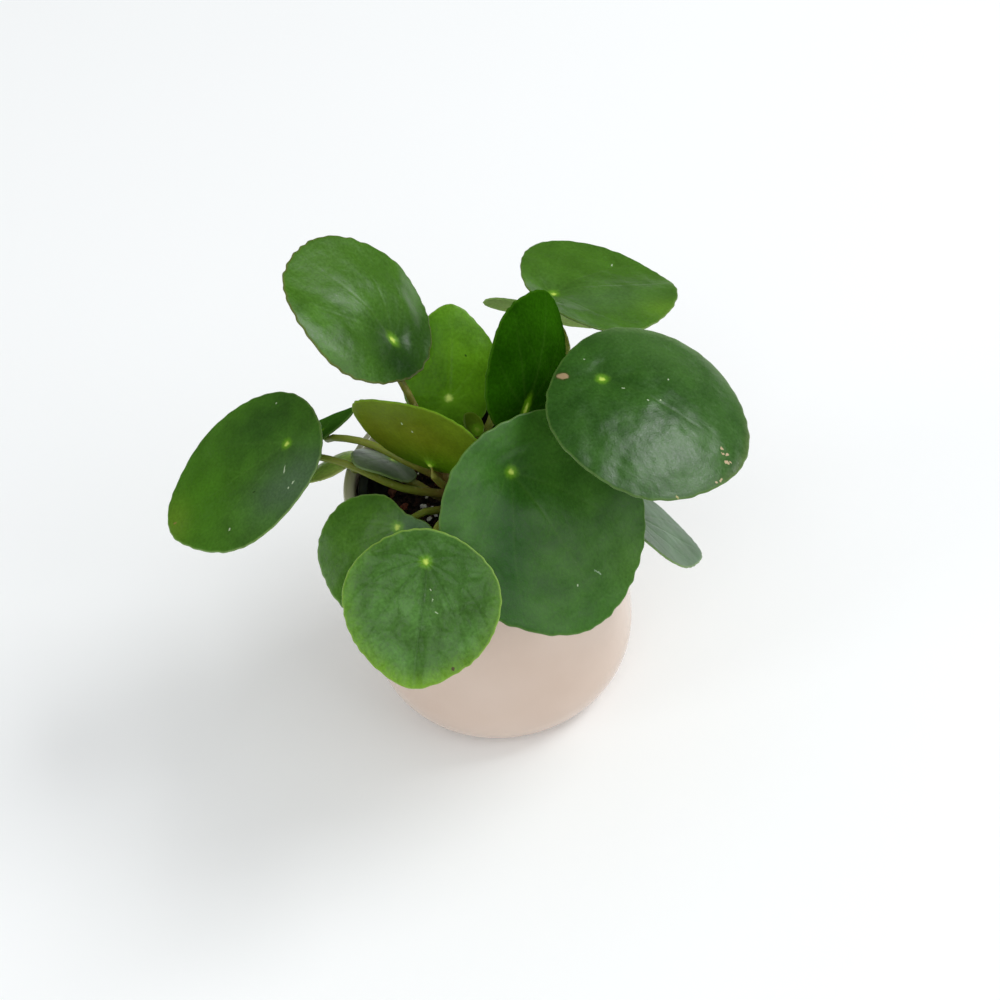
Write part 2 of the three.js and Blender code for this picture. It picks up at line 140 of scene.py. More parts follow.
def glaze():
    """Glossy tin-white glaze on stoneware: deep soft reflections, faint warm clouds, iron specks."""
    material, tree, surface = new_finish("glazed_stoneware")
    place = add_node(tree, "ShaderNodeTexCoord").outputs["Object"]
    # Clouds about 28 mm wide where the glaze lies thicker or thinner
    clouds = add_node(tree, "ShaderNodeTexNoise", {"Scale": 1000 / 28, "Detail": 3}, {"Vector": place})
    pink = add_node(
        tree, "ShaderNodeMix",
        {"data_type": "RGBA", 6: linear("#dcc9bb"), 7: linear("#cab19f")}, {0: clouds.outputs["Fac"]},
    )
    # Painted reflection of the green leaves: the glaze turns greenish beige over the rim and inside it
    above = add_node(tree, "ShaderNodeSeparateXYZ", links={0: place})
    rim_reflection = add_node(
        tree, "ShaderNodeMapRange",
        {"From Min": RIM_REFLECTION_HEIGHTS[0] * MM, "From Max": RIM_REFLECTION_HEIGHTS[1] * MM, "To Max": 0.85},
        {"Value": above.outputs["Z"]},
    )
    with_rim_reflection = add_node(
        tree, "ShaderNodeMix", {"data_type": "RGBA", 7: linear("#c6c4a8")},
        {0: rim_reflection.outputs[0], 6: pink.outputs[2]},
    )
    # Iron specks about 0.5 mm wide, one in each of some fields of 6 mm
    specks = add_node(tree, "ShaderNodeTexVoronoi", {"Scale": 1000 / 6}, {"Vector": place})
    chosen = add_node(
        tree, "ShaderNodeMath", {"operation": "GREATER_THAN", 1: 0.62}, {0: specks.outputs["Color"]}
    )
    inside = add_node(
        tree, "ShaderNodeMapRange", {"From Min": 0.02, "From Max": 0.05, "To Min": 0.55, "To Max": 0},
        {"Value": specks.outputs["Distance"]},
    )
    speck = add_node(
        tree, "ShaderNodeMath", {"operation": "MULTIPLY"}, {0: chosen.outputs[0], 1: inside.outputs[0]}
    )
    colour = add_node(
        tree, "ShaderNodeMix", {"data_type": "RGBA", 7: linear("#7b6352")},
        {0: speck.outputs[0], 6: with_rim_reflection.outputs[2]},
    )
    tree.links.new(colour.outputs[2], surface.inputs["Base Color"])
    # Orange-peel ripples about 3 mm apart and very shallow
    ripple = add_node(tree, "ShaderNodeTexNoise", {"Scale": 1000 / 3, "Detail": 2}, {"Vector": place})
    bump = add_node(
        tree, "ShaderNodeBump", {"Strength": 0.06, "Distance": 0.3 * MM}, {"Height": ripple.outputs["Fac"]}
    )
    tree.links.new(bump.outputs[0], surface.inputs["Normal"])
    surface.inputs["Roughness"].default_value = 0.08
    surface.inputs["IOR"].default_value = 1.52
    return material


def bare_stoneware():
    """Fired clay without glaze: dull tan with fine dark grog."""
    material, tree, surface = new_finish("bare_stoneware")
    place = add_node(tree, "ShaderNodeTexCoord").outputs["Object"]
    # Grog grains of about 0.5 mm
    grog = add_node(tree, "ShaderNodeTexNoise", {"Scale": 1000 / 0.5, "Detail": 3}, {"Vector": place})
    colour = add_node(
        tree, "ShaderNodeMix",
        {"data_type": "RGBA", 6: linear("#a68a6c"), 7: linear("#c9b295")}, {0: grog.outputs["Fac"]},
    )
    bump = add_node(
        tree, "ShaderNodeBump", {"Strength": 0.5, "Distance": 0.1 * MM}, {"Height": grog.outputs["Fac"]}
    )
    tree.links.new(colour.outputs[2], surface.inputs["Base Color"])
    tree.links.new(bump.outputs[0], surface.inputs["Normal"])
    surface.inputs["Roughness"].default_value = 0.85
    return material


def cover_pot():
    """The pot's wall, belly, rim, hollow and foot, turned as one profile."""
    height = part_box("ceramic_pot")[1].z / MM
    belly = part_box("ceramic_pot")[1].x / MM
    rim_height = height - POT_WALL / 2

    def wall(share):
        radius = belly - (belly - POT_RIM_RADIUS) * share ** POT_TAPER_POWER
        return radius, POT_BELLY_HEIGHT + (rim_height - POT_BELLY_HEIGHT) * share

    shares = np.linspace(0, 1, POT_WALL_STEPS)
    outside = np.array([wall(share) for share in shares[1:-1]])
    inside = np.array([wall(share) for share in shares[::-1][1:]]) - [POT_WALL, 0]
    foot = [[0, 0], [POT_FOOT_RADIUS - POT_FOOT_BEVEL, 0], [POT_FOOT_RADIUS, POT_FOOT_BEVEL]]
    foot += [[POT_FOOT_RADIUS + out, GLAZE_EDGE_HEIGHT - down] for out, down in GLAZE_ROLL]
    bottom = arc(
        [GLAZE_EDGE_RADIUS, POT_BELLY_HEIGHT],
        [belly - GLAZE_EDGE_RADIUS, POT_BELLY_HEIGHT - GLAZE_EDGE_HEIGHT - 0.1], -90, 0, POT_BELLY_STEPS,
    )
    rim = arc([POT_RIM_RADIUS - POT_WALL / 2, rim_height], [POT_WALL / 2] * 2, 0, 180, POT_RIM_STEPS)
    inner = belly - POT_WALL - POT_INNER_CORNER
    hollow = arc(
        [inner, POT_FLOOR + POT_INNER_CORNER], [POT_INNER_CORNER] * 2, 0, -90, POT_CORNER_STEPS
    )
    profile = np.vstack([foot, bottom, outside, rim, inside, hollow, [[0, POT_FLOOR]]])
    points, faces = turned_body(profile, POT_SIDES)

    # The cast wall isn't perfectly round: two and three slow waves run round it above the foot
    turn = np.arctan2(points[:, 1], points[:, 0])
    waves = np.sin(2 * turn + 0.4) + 0.6 * np.sin(3 * turn + 2 + points[:, 2] / 25)
    reach = np.hypot(points[:, 0], points[:, 1])
    free = np.clip((points[:, 2] - CAST_WOBBLE["from"]) / CAST_WOBBLE["full_after"], 0, 1)
    inward = CAST_WOBBLE["depth"] * free * (1.6 + waves) / 2
    points[:, :2] *= (1 - inward / np.maximum(reach, 1))[:, None]

    piece = new_piece("cover_pot", points, faces, glaze(), bare_stoneware())
    bare = (GLAZE_EDGE_HEIGHT - 0.1) * MM
    for face in piece.data.polygons:
        face.material_index = int(all(piece.data.vertices[i].co.z < bare for i in face.vertices))
    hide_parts("ceramic_pot")
    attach(piece, "root")


cover_pot()


# Nursery pot. A thin blow-moulded polypropylene pot, black, with a rolled lip, a step below it and
# faint upright ribs. The plant was sold in it, and it stands loose in the cover pot.
LINER_WALL = 1
LINER_FLOOR = 1.2
LINER_BASE_RADIUS = 22
LINER_LIP_WIDTH = 1.6
LINER_LIP_HEIGHT = 3
LINER_LIP_ROLL = 0.8
LINER_INNER_ROLL = 0.5
LINER_STEP = {"depth": 7, "width": 0.5, "height": 0.8}
LINER_SIDES = 180
LINER_RIBS = {"count": 36, "height": 0.07}


def black_polypropylene():
    """Blow-moulded black plastic: satin, finely grained, under a film of dust and lime."""
    material, tree, surface = new_finish("black_polypropylene")
    place = add_node(tree, "ShaderNodeTexCoord").outputs["Object"]
    # Dust and lime in patches about 6 mm wide
    dust = add_node(tree, "ShaderNodeTexNoise", {"Scale": 1000 / 6.25, "Detail": 6}, {"Vector": place})
    film = add_node(
        tree, "ShaderNodeMapRange", {"From Min": 0.45, "From Max": 0.75}, {"Value": dust.outputs["Fac"]}
    )
    colour = add_node(
        tree, "ShaderNodeMix",
        {"data_type": "RGBA", 6: linear("#121414"), 7: linear("#363a35")}, {0: film.outputs[0]},
    )
    roughness = add_node(
        tree, "ShaderNodeMapRange", {"To Min": 0.38, "To Max": 0.62}, {"Value": film.outputs[0]}
    )
    # Mould texture with a grain of 0.4 mm
    grain = add_node(tree, "ShaderNodeTexNoise", {"Scale": 1000 / 0.4, "Detail": 2}, {"Vector": place})
    bump = add_node(
        tree, "ShaderNodeBump", {"Strength": 0.15, "Distance": 0.05 * MM}, {"Height": grain.outputs["Fac"]}
    )
    tree.links.new(colour.outputs[2], surface.inputs["Base Color"])
    tree.links.new(roughness.outputs[0], surface.inputs["Roughness"])
    tree.links.new(bump.outputs[0], surface.inputs["Normal"])
    surface.inputs["IOR"].default_value = 1.49
    return material


def nursery_liner():
    """The liner's wall, lip, step and floor, turned as one profile, with ribs round the outside."""
    low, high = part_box("nursery_pot")
    base, top, rim = low.z / MM, high.z / MM, high.x / MM
    lip = top - LINER_LIP_HEIGHT

    def wall(height):
        spread = rim - LINER_LIP_WIDTH - LINER_BASE_RADIUS
        return LINER_BASE_RADIUS + spread * (height - base) / (top - base)

    step = lip - LINER_STEP["depth"]
    roll = arc([rim - LINER_LIP_ROLL, top - LINER_LIP_ROLL], [LINER_LIP_ROLL] * 2, 0, 90, 5)
    inner_lip = wall(top) - LINER_WALL
    inner_roll = arc(
        [inner_lip + LINER_INNER_ROLL, top - LINER_INNER_ROLL], [LINER_INNER_ROLL] * 2, 90, 180, 4
    )
    outside = [[wall(h), h] for h in np.linspace(base + 1, lip, 24)]
    ledge = [
        [wall(lip) - LINER_WALL, lip - 0.6], [wall(step) - LINER_WALL, step],
        [wall(step) - LINER_WALL - LINER_STEP["width"], step - LINER_STEP["height"]],
    ]
    inside = [
        [wall(h) - LINER_WALL - LINER_STEP["width"], h]
        for h in np.linspace(step - 2 * LINER_STEP["height"], base + 2.5, 20)
    ]
    floor = base + LINER_FLOOR
    profile = np.vstack([
        [[0, base], [LINER_BASE_RADIUS - 1, base]], outside, [[rim, lip]], roll, inner_roll, ledge, inside,
        [[LINER_BASE_RADIUS - 3, floor], [0, floor]],
    ])
    points, faces = turned_body(profile, LINER_SIDES)
    turn = np.arctan2(points[:, 1], points[:, 0])
    reach = np.hypot(points[:, 0], points[:, 1])
    ribbed = (points[:, 2] < lip - 0.5) & (points[:, 2] > base + 1.5)
    ribs = LINER_RIBS["height"] * np.maximum(0, np.cos(LINER_RIBS["count"] * turn)) ** 4 * ribbed
    points[:, :2] *= (1 - ribs / np.maximum(reach, 1))[:, None]
    piece = new_piece("nursery_liner", points, faces, black_polypropylene())
    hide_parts("nursery_pot")
    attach(piece, "root")


nursery_liner()


# Potting soil. Damp peat with composted bark, perlite and a few dry roots, pressed round the stem
# and filled to well below the nursery pot's rim. The bed is one body with a crumbly top, and the
# loose bits lie half sunk in it.
STEM_RADIUS = 3.1
STEM_AXIS = (-6.0, 0.0)
SOIL_SPOKES = 260
SOIL_RINGS = 84
SOIL_PLAY = 0.05
STEM_HOLE_PLAY = 0.1
STEM_HOLE_FLOOR = 53
# The solid's top lies at least so far over its base, and on the whole so far under its highest point
SOIL_TOP_LEAST = 30
SOIL_TOP_MEAN = 1.5
BITS_OFF_WALL = 1.5
PEAT_RELIEF = [{"size": 5.5, "height": 0.9}, {"size": 2.2, "height": 0.75}, {"size": 0.9, "height": 0.4}]


def peat(name, dark, light, grain):
    """Damp peat: near black, dull, in clumps of brown and reddish crumbs."""
    material, tree, surface = new_finish(name)
    place = add_node(tree, "ShaderNodeTexCoord").outputs["Object"]
    clump = add_node(tree, "ShaderNodeTexNoise", {"Scale": 1000 / grain, "Detail": 8}, {"Vector": place})
    spread = add_node(
        tree, "ShaderNodeMapRange", {"From Min": 0.42, "From Max": 0.68}, {"Value": clump.outputs["Fac"]}
    )
    each = add_node(tree, "ShaderNodeAttribute", {"attribute_name": "shade"})
    share = add_node(
        tree, "ShaderNodeMath", {"operation": "ADD", "use_clamp": True},
        {0: spread.outputs[0], 1: each.outputs["Fac"]},
    )
    colour = add_node(
        tree, "ShaderNodeMix", {"data_type": "RGBA", 6: linear(dark), 7: linear(light)},
        {0: share.outputs[0]},
    )
    # Crumbs of about 0.3 mm on each clump
    fine = add_node(tree, "ShaderNodeTexNoise", {"Scale": 3500, "Detail": 4}, {"Vector": place})
    bump = add_node(
        tree, "ShaderNodeBump", {"Strength": 0.8, "Distance": 0.25 * MM}, {"Height": fine.outputs["Fac"]}
    )
    tree.links.new(colour.outputs[2], surface.inputs["Base Color"])
    tree.links.new(bump.outputs[0], surface.inputs["Normal"])
    surface.inputs["Roughness"].default_value = 0.82
    surface.inputs["Specular IOR Level"].default_value = 0.3
    return material


soil_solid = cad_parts["soil"]
soil_shape = BVHTree.FromPolygons(
    [v.co for v in soil_solid.data.vertices], [p.vertices[:] for p in soil_solid.data.polygons]
)
soil_low, soil_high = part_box("soil")
soil_edge = soil_high.x / MM


def soil_height(x, y):
    """Height of the crumbly top in millimetres: the solid's own form with finer crumbs on it."""
    hit = soil_shape.ray_cast(Vector((x * MM, y * MM, 1)), Vector((0, 0, -1)))[0]
    on_top = hit and hit.z > soil_low.z + SOIL_TOP_LEAST * MM
    height = hit.z / MM if on_top else soil_high.z / MM - SOIL_TOP_MEAN
    for relief in PEAT_RELIEF:
        height += relief["height"] * noise.noise(Vector((x, y, relief["height"] * 10)) / relief["size"])
    return height


def soil_bed():
    """The soil's body: a crumbly top from the stem's hole to the wall, then the sides and the base."""
    low = soil_low.z / MM
    bottom_radius = max(
        v.co.xy.length for v in soil_solid.data.vertices if v.co.z < soil_low.z + 0.1 * MM
    ) / MM
    turns = np.linspace(0, 2 * np.pi, SOIL_SPOKES, endpoint=False)
    heading = np.column_stack([np.cos(turns), np.sin(turns)])
    hole = np.array(STEM_AXIS) + heading * (STEM_RADIUS + STEM_HOLE_PLAY)
    wall = heading * (soil_edge - SOIL_PLAY)
    points = [[x, y, STEM_HOLE_FLOOR] for x, y in hole]
    for share in np.linspace(0, 1, SOIL_RINGS):
        points += [[x, y, soil_height(x, y)] for x, y in hole + (wall - hole) * share]
    points += [[x, y, low] for x, y in heading * bottom_radius]
    points += [[*STEM_AXIS, STEM_HOLE_FLOOR], [0, 0, low]]
    faces = []
    rings = SOIL_RINGS + 2
    for ring in range(rings - 1):
        for spoke in range(SOIL_SPOKES):
            after = (spoke + 1) % SOIL_SPOKES
            inner, outer = ring * SOIL_SPOKES, (ring + 1) * SOIL_SPOKES
            faces.append((inner + spoke, outer + spoke, outer + after, inner + after))
    hole_centre, bottom_centre = len(points) - 2, len(points) - 1
    for spoke in range(SOIL_SPOKES):
        after = (spoke + 1) % SOIL_SPOKES
        outer = (rings - 1) * SOIL_SPOKES
        faces.append((hole_centre, spoke, after))
        faces.append((bottom_centre, outer + after, outer + spoke))
    piece = new_piece("soil_bed", points, faces, peat("damp_peat", "#0c0807", "#3b2118", 1.6))
    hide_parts("soil")
    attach(piece, "root")


soil_bed()


def ball(fineness):
    """Points and faces of a ball 1 mm across, for bits of soil to be made from."""
    shape = bmesh.new()
    bmesh.ops.create_icosphere(shape, subdivisions=fineness, radius=0.5)
    points = np.array([v.co for v in shape.verts])
    faces = [[v.index for v in f.verts] for f in shape.faces]
    shape.free()
    return points, faces


def loose_bits(name, material, seed, count, sizes, flatness, sink):
    """Irregular bits that lie half sunk in the soil, all one piece, each with its own shade."""
    draw = np.random.RandomState(seed)
    shape, corners = ball(1)
    points, faces, shades = [], [], []
    while len(shades) < count * len(shape):
        reach = (soil_edge - BITS_OFF_WALL) * math.sqrt(draw.rand())
        turn = draw.rand() * 2 * math.pi
        x, y = reach * math.cos(turn), reach * math.sin(turn)
        size = sizes[0] + (sizes[1] - sizes[0]) * draw.rand() ** 2.2
        stretch = np.array([1, 0.5 + 0.4 * draw.rand(), flatness * (0.8 + 0.4 * draw.rand())])
        lumps = 1 + 0.45 * (draw.rand(len(shape)) - 0.5)
        tilt = Matrix.Rotation(draw.rand() * 2 * math.pi, 3, "Z") @ Matrix.Rotation(
            (draw.rand() - 0.5) * 1.1, 3, "X"
        )
        if math.hypot(x - STEM_AXIS[0], y - STEM_AXIS[1]) < STEM_RADIUS + size / 2:
            continue
        bit = (shape * lumps[:, None] * stretch * size) @ np.array(tilt).T
        bit += [x, y, soil_height(x, y) + size * stretch[2] * (0.5 - sink)]
        faces += [[c + len(points) for c in corner] for corner in corners]
        points += bit.tolist()
        shades += [draw.rand()] * len(shape)
    piece = new_piece(name, points, faces, material)
    shade = piece.data.attributes.new("shade", "FLOAT", "POINT")
    shade.data.foreach_set("value", np.array(shades, np.float32) - 0.5)
    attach(piece, "root")


loose_bits("peat_crumbs", peat("peat_crumb", "#0f0a08", "#3a241a", 0.8), 3, 620, (0.5, 1.7), 0.75, 0.3)
loose_bits("bark_chips", peat("bark_chip", "#21110b", "#6b3f2c", 1.1), 5, 120, (1.3, 3.6), 0.35, 0.3)
loose_bits(
    "perlite_grains", peat("expanded_perlite", "#b9b4aa", "#e9e6df", 0.5), 8, 26, (0.7, 1.7), 0.85, 0.35
)


# Larger bits that lie on top of the soil: swollen perlite in a cluster behind the rim leaf, two
# chips of reddish bark and a pale root end. They are loose, a third of each in the soil.
TOP_PERLITE = [(-15.4, 3.1, 1.9), (-14.2, -1.9, 1.6), (-12.4, -0.1, 1.3), (-16.4, 0.7, 1.5)]
TOP_BARK = [(-10.2, 9.8, 3.2), (-20.4, 3.5, 2.6)]
TOP_ROOTS = [(-12.8, 14.6, 2.2)]


def placed_bits(name, material, seed, places, flatness):
    """Lumpy bits of given size at given places on the soil, in millimetres, all one piece."""
    draw = np.random.RandomState(seed)
    shape, corners = ball(3)
    points, faces = [], []
    for x, y, size in places:
        shift = draw.rand(3) * 50
        lumps = [1 + 0.55 * noise.noise(Vector(p * 3.2 + shift)) for p in shape]
        turn = np.array(Matrix.Rotation(draw.rand() * 2 * math.pi, 3, "Z"))
        bit = (shape * np.array(lumps)[:, None] * [1, 0.75, flatness] * size) @ turn.T
        bit += [x, y, soil_height(x, y) + 0.2 * size * flatness]
        faces += [[c + len(points) for c in corner] for corner in corners]
        points += bit.tolist()
    piece = new_piece(name, points, faces, material)
    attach(piece, "root")


placed_bits("large_perlite", peat("swollen_perlite", "#bdb9b0", "#f0ede6", 0.6), 21, TOP_PERLITE, 0.8)
placed_bits("large_bark", peat("reddish_bark", "#5a2a1a", "#8a4a30", 1.2), 22, TOP_BARK, 0.4)
placed_bits("root_end", peat("dry_root", "#9c8072", "#cbb2a2", 0.8), 23, TOP_ROOTS, 0.5)


# Stem and leaf stalks. The plant's short stem, green going brown with old leaf scars, and the
# sixteen fleshy stalks that it grew. They are one body, so the solid in the frame is only rounded
# off and its joints are filled out. Each stalk ends under its blade.
STALK_VOXEL = 0.32
STALK_ROUNDING = 7
STALK_SWELL = 0.07
# Distances from the stem's middle between which the stalks go from brown to green
STALK_BROWN = (3, 14)


def fleshy_stalk():
    """Smooth succulent skin: olive green, browner by the stem, half gloss, with pale pores."""
    material, tree, surface = new_finish("stalk_skin")
    place = add_node(tree, "ShaderNodeTexCoord").outputs["Object"]
    from_stem = add_node(tree, "ShaderNodeAttribute", {"attribute_name": "from_stem"})
    # Slow change of colour along the stalks, about 15 mm long
    slow = add_node(tree, "ShaderNodeTexNoise", {"Scale": 1000 / 15, "Detail": 2}, {"Vector": place})
    green = add_node(
        tree, "ShaderNodeMix", {"data_type": "RGBA", 6: linear("#6a8122"), 7: linear("#98993e")},
        {0: slow.outputs["Fac"]},
    )
    brown = add_node(
        tree, "ShaderNodeMix", {"data_type": "RGBA", 6: linear("#56571b"), 7: linear("#8a6c3a")},
        {0: slow.outputs["Fac"]},
    )
    near = add_node(
        tree, "ShaderNodeMapRange", {"From Min": STALK_BROWN[0], "From Max": STALK_BROWN[1]},
        {"Value": from_stem.outputs["Fac"]},
    )
    colour = add_node(
        tree, "ShaderNodeMix", {"data_type": "RGBA"},
        {0: near.outputs[0], 6: brown.outputs[2], 7: green.outputs[2]},
    )
    # Pale lens-shaped pores about 0.5 mm wide
    pores = add_node(tree, "ShaderNodeTexVoronoi", {"Scale": 1000 / 2.4}, {"Vector": place})
    pore = add_node(
        tree, "ShaderNodeMapRange", {"From Min": 0.08, "From Max": 0.2, "To Min": 0.4, "To Max": 0},
        {"Value": pores.outputs["Distance"]},
    )
    skin = add_node(
        tree, "ShaderNodeMix", {"data_type": "RGBA", 7: linear("#a9ad70")},
        {0: pore.outputs[0], 6: colour.outputs[2]},
    )
    # Slight unevenness of the skin, about 0.8 mm
    fine = add_node(tree, "ShaderNodeTexNoise", {"Scale": 1200, "Detail": 3}, {"Vector": place})
    bump = add_node(
        tree, "ShaderNodeBump", {"Strength": 0.3, "Distance": 0.1 * MM}, {"Height": fine.outputs["Fac"]}
    )
    tree.links.new(skin.outputs[2], surface.inputs["Base Color"])
    tree.links.new(bump.outputs[0], surface.inputs["Normal"])
    surface.inputs["Roughness"].default_value = 0.42
    surface.inputs["IOR"].default_value = 1.42
    surface.inputs["Subsurface Weight"].default_value = 0.12
    surface.inputs["Subsurface Scale"].default_value = 0.8 * MM
    return material


def stem_and_petioles():
    """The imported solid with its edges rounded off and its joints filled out."""
    shape = bmesh.new()
    shape.from_mesh(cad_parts["stem_and_stalks"].data)
    bmesh.ops.remove_doubles(shape, verts=shape.verts, dist=1e-3 * MM)
    rough = bpy.data.meshes.new("stem_and_petioles")
    shape.to_mesh(rough)
    shape.free()
    piece = bpy.data.objects.new("stem_and_petioles", rough)
    bpy.context.scene.collection.objects.link(piece)
    remesh = piece.modifiers.new("even", "REMESH")
    remesh.mode = "VOXEL"
    remesh.voxel_size = STALK_VOXEL * MM
    rounding = piece.modifiers.new("round", "SMOOTH")
    rounding.factor = 0.5
    rounding.iterations = STALK_ROUNDING
    swell = piece.modifiers.new("swell", "DISPLACE")
    swell.strength = STALK_SWELL * MM
    swell.mid_level = 0
    bpy.context.view_layer.update()
    settled = piece.evaluated_get(bpy.context.evaluated_depsgraph_get())
    piece.data = bpy.data.meshes.new_from_object(settled)
    piece.modifiers.clear()
    piece.data.shade_smooth()
    piece.data.materials.clear()
    piece.data.materials.append(fleshy_stalk())
    spots = np.zeros(len(piece.data.vertices) * 3)
    piece.data.vertices.foreach_get("co", spots)
    spots = spots.reshape(-1, 3) / MM
    away = np.hypot(spots[:, 0] - STEM_AXIS[0], spots[:, 1] - STEM_AXIS[1])
    from_stem = piece.data.attributes.new("from_stem", "FLOAT", "POINT")
    from_stem.data.foreach_set("value", away.astype(np.float32))
    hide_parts("stem_and_stalks")
    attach(piece, "root")


stem_and_petioles()


# Leaf blades. Round fleshy leaves, each carried by its stalk a little behind its middle, where a
# pale dot shows on the upper side. The skin is a waxy cuticle with sunken veins above and raised
# veins below, and the margin is a thin pale rim. Each blade grew on its stalk.
BLADE_WELD = 0.002
BLADE_RING_COUNT = 4
BLADE_WAVES = 9
BLADE_THICKNESS = 0.8
RIM_WIDTH = 0.45
RIM_STEPS = 6
UPPER_RINGS = 46
LOWER_RINGS = 22
SPOKES_A_MM = 1.7
VEIN_WIDTH = 0.5
STALK_COLLAR = {"depth": 1.1, "width": 1.5}
PUCKERS = [{"size": 7.5, "share": 1.0}, {"size": 3.2, "share": 0.3}]
PUCKER_WAVES = 6
# Way from the dot over which the puckers, and then the folds, reach their full height
PUCKER_ONSET = 5
FOLD_ONSET = 10
# Scallops of the margin: how many go round the blade, and their share of the leaf's scallop depth
MARGIN_SCALLOPS = [(19, 0.25), (31, 0.45), (43, 0.3)]
# What the attributes of the two middle points say of their way in from the margin
FAR_FROM_MARGIN = 9

# Main veins on each side: angle from the tip in degrees, bend towards the tip, strength
MAIN_VEINS = [(36, -10, 0.75), (76, -24, 0.6), (116, -26, 0.45), (155, -14, 0.35)]
# Side veins of the middle vein: share of the way where they leave it, spread in degrees, strength
SIDE_VEINS = [(0.34, 42, 0.5), (0.52, 36, 0.45), (0.7, 26, 0.35)]


def read_blade(node):
    """The blade's own axes, its rings and its outline, read from its solid, in millimetres."""
    shape = bmesh.new()
    shape.from_mesh(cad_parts[node].data)
    bmesh.ops.remove_doubles(shape, verts=shape.verts, dist=BLADE_WELD * MM)
    hubs = sorted(shape.verts, key=lambda v: -len(v.link_edges))[:2]
    upper, lower = sorted(hubs, key=lambda v: -v.co.z)
    at = np.array(upper.co) / MM
    normal = np.array((upper.co - lower.co).normalized())
    rings, seen, front = [], {upper}, {upper}
    for _ in range(BLADE_RING_COUNT):
        front = {edge.other_vert(v) for v in front for edge in v.link_edges} - seen
        seen |= front
        rings.append(np.array([v.co for v in front]) / MM - at)
    shape.free()
    tip = rings[-1].mean(0)
    tip -= normal * (tip @ normal)
    tip /= np.linalg.norm(tip)
    across = np.cross(normal, tip)
    spokes = []
    for ring in rings:
        along, aside = ring @ tip, ring @ across
        order = np.argsort(np.arctan2(aside, along))
        spokes.append(np.column_stack([along, aside, ring @ normal])[order])
    return at, normal, tip, across, np.array(spokes)


def round_curve(values, turns):
    """Values at any turns round the blade, from evenly spaced known ones, as a few smooth waves."""
    waves = np.fft.rfft(values, axis=0)[:BLADE_WAVES + 1] / len(values)
    waves[1:] *= 2
    return np.real(np.exp(1j * np.outer(turns, np.arange(BLADE_WAVES + 1))) @ waves)


def along_spokes(at, values, wanted):
    """Each spoke's value at the wanted share of its length, by a curve through the known ones."""
    slopes = np.gradient(values, at, axis=1)
    index = np.clip(np.searchsorted(at, wanted, side="right") - 1, 0, len(at) - 2)
    spoke = np.arange(len(values))
    span = at[index + 1] - at[index]
    t = (wanted - at[index]) / span
    return (
        values[spoke, index] * (1 + 2 * t) * (1 - t) ** 2
        + slopes[spoke, index] * span * t * (1 - t) ** 2
        + values[spoke, index + 1] * t ** 2 * (3 - 2 * t)
        + slopes[spoke, index + 1] * span * t ** 2 * (t - 1)
    )


def vein_strength(turn, share, radius, spread):
    """How deep in a vein each point lies, from 0 to 1, by angle from the tip and way to the margin."""
    width = VEIN_WIDTH * (1.15 - 0.6 * share)
    strength = np.exp(-((radius * turn / width) ** 2)) * (1 - 0.75 * share ** 3)
    for (angle, bend, weight), (left, right) in zip(MAIN_VEINS, spread):
        for side, jitter in ((-1, left), (1, right)):
            off = turn - side * np.radians(angle + jitter + bend * share ** 1.5)
            gap = radius * ((off + np.pi) % (2 * np.pi) - np.pi)
            strength = np.maximum(
                strength, weight * np.exp(-((gap / width) ** 2)) * (1 - 0.75 * share ** 3)
            )
    for start, reach, weight in SIDE_VEINS:
        grown = np.clip((share - start) / (1 - start), 0, 1)
        gap = radius * (np.abs(turn) - np.radians(reach * grown ** 0.8))
        line = weight * np.exp(-((gap / (0.7 * VEIN_WIDTH)) ** 2)) * (share > start) * (1 - 0.8 * grown)
        strength = np.maximum(strength, line)
    return strength


def puckers(along, aside, draw):
    """Gentle uneven swellings of the skin between the veins, about -1 to 1."""
    total = np.zeros_like(along)
    for pucker in PUCKERS:
        for _ in range(PUCKER_WAVES):
            heading, shift = draw.rand(2) * 2 * np.pi
            pitch = 2 * np.pi / (pucker["size"] * (0.7 + 0.6 * draw.rand()))
            wave = pitch * (along * np.cos(heading) + aside * np.sin(heading)) + shift
            total += pucker["share"] * np.sin(wave) / PUCKER_WAVES
    return total


def turned(along, aside, heading):
    """Places on a blade as their ways along and across a heading in degrees."""
    turn = math.radians(heading)
    return (
        along * math.cos(turn) + aside * math.sin(turn),
        aside * math.cos(turn) - along * math.sin(turn),
    )


def eased(share):
    """A share that starts and ends softly, held between 0 and 1."""
    held = np.clip(share, 0, 1)
    return held ** 2 * (3 - 2 * held)


def shape_skin(leaf, flat, draw):
    """Puckers, folds and bends of a blade, added to the heights of its points."""
    along, aside = flat[:, 0], flat[:, 1]
    calm = np.clip(np.hypot(along, aside) / PUCKER_ONSET, 0, 1)
    flat[:, 2] += leaf["pucker"] * puckers(along, aside, draw) * calm
    for heading, depth, width in leaf["folds"]:
        beyond, off = turned(along, aside, heading)
        flat[:, 2] -= depth * np.exp(-((off / width) ** 2)) * eased(beyond / FOLD_ONSET)
    for heading, start, run, lift in leaf["bends"]:
        beyond = turned(along, aside, heading)[0]
        flat[:, 2] += lift * eased((beyond - start) / run)


def blade_tones_sheen_shade(leaf, along, aside, inset):
    """Soft patches on a blade, of another green and of painted sheen and shade: RGBA for each point, from
    the leaf's own list.
    """
    tones_sheen_shade = np.zeros((len(along), 4))
    for (u, v), (length, width), heading, colour, share, margin in leaf["tones_sheen_shade"]:
        lengthwise, crosswise = turned(along - u, aside - v, heading)
        amount = share * np.exp(-((lengthwise / length) ** 2) - (crosswise / width) ** 2)
        if margin:
            amount = amount * np.exp(-((inset / margin) ** 2))
        kept = tones_sheen_shade[:, 3] * (1 - amount)
        whole = np.maximum(kept + amount, 1e-6)
        tones_sheen_shade[:, :3] = (
            tones_sheen_shade[:, :3] * kept[:, None] + np.array(linear(colour)[:3]) * amount[:, None]
        ) / whole[:, None]
        tones_sheen_shade[:, 3] = kept + amount
    return tones_sheen_shade


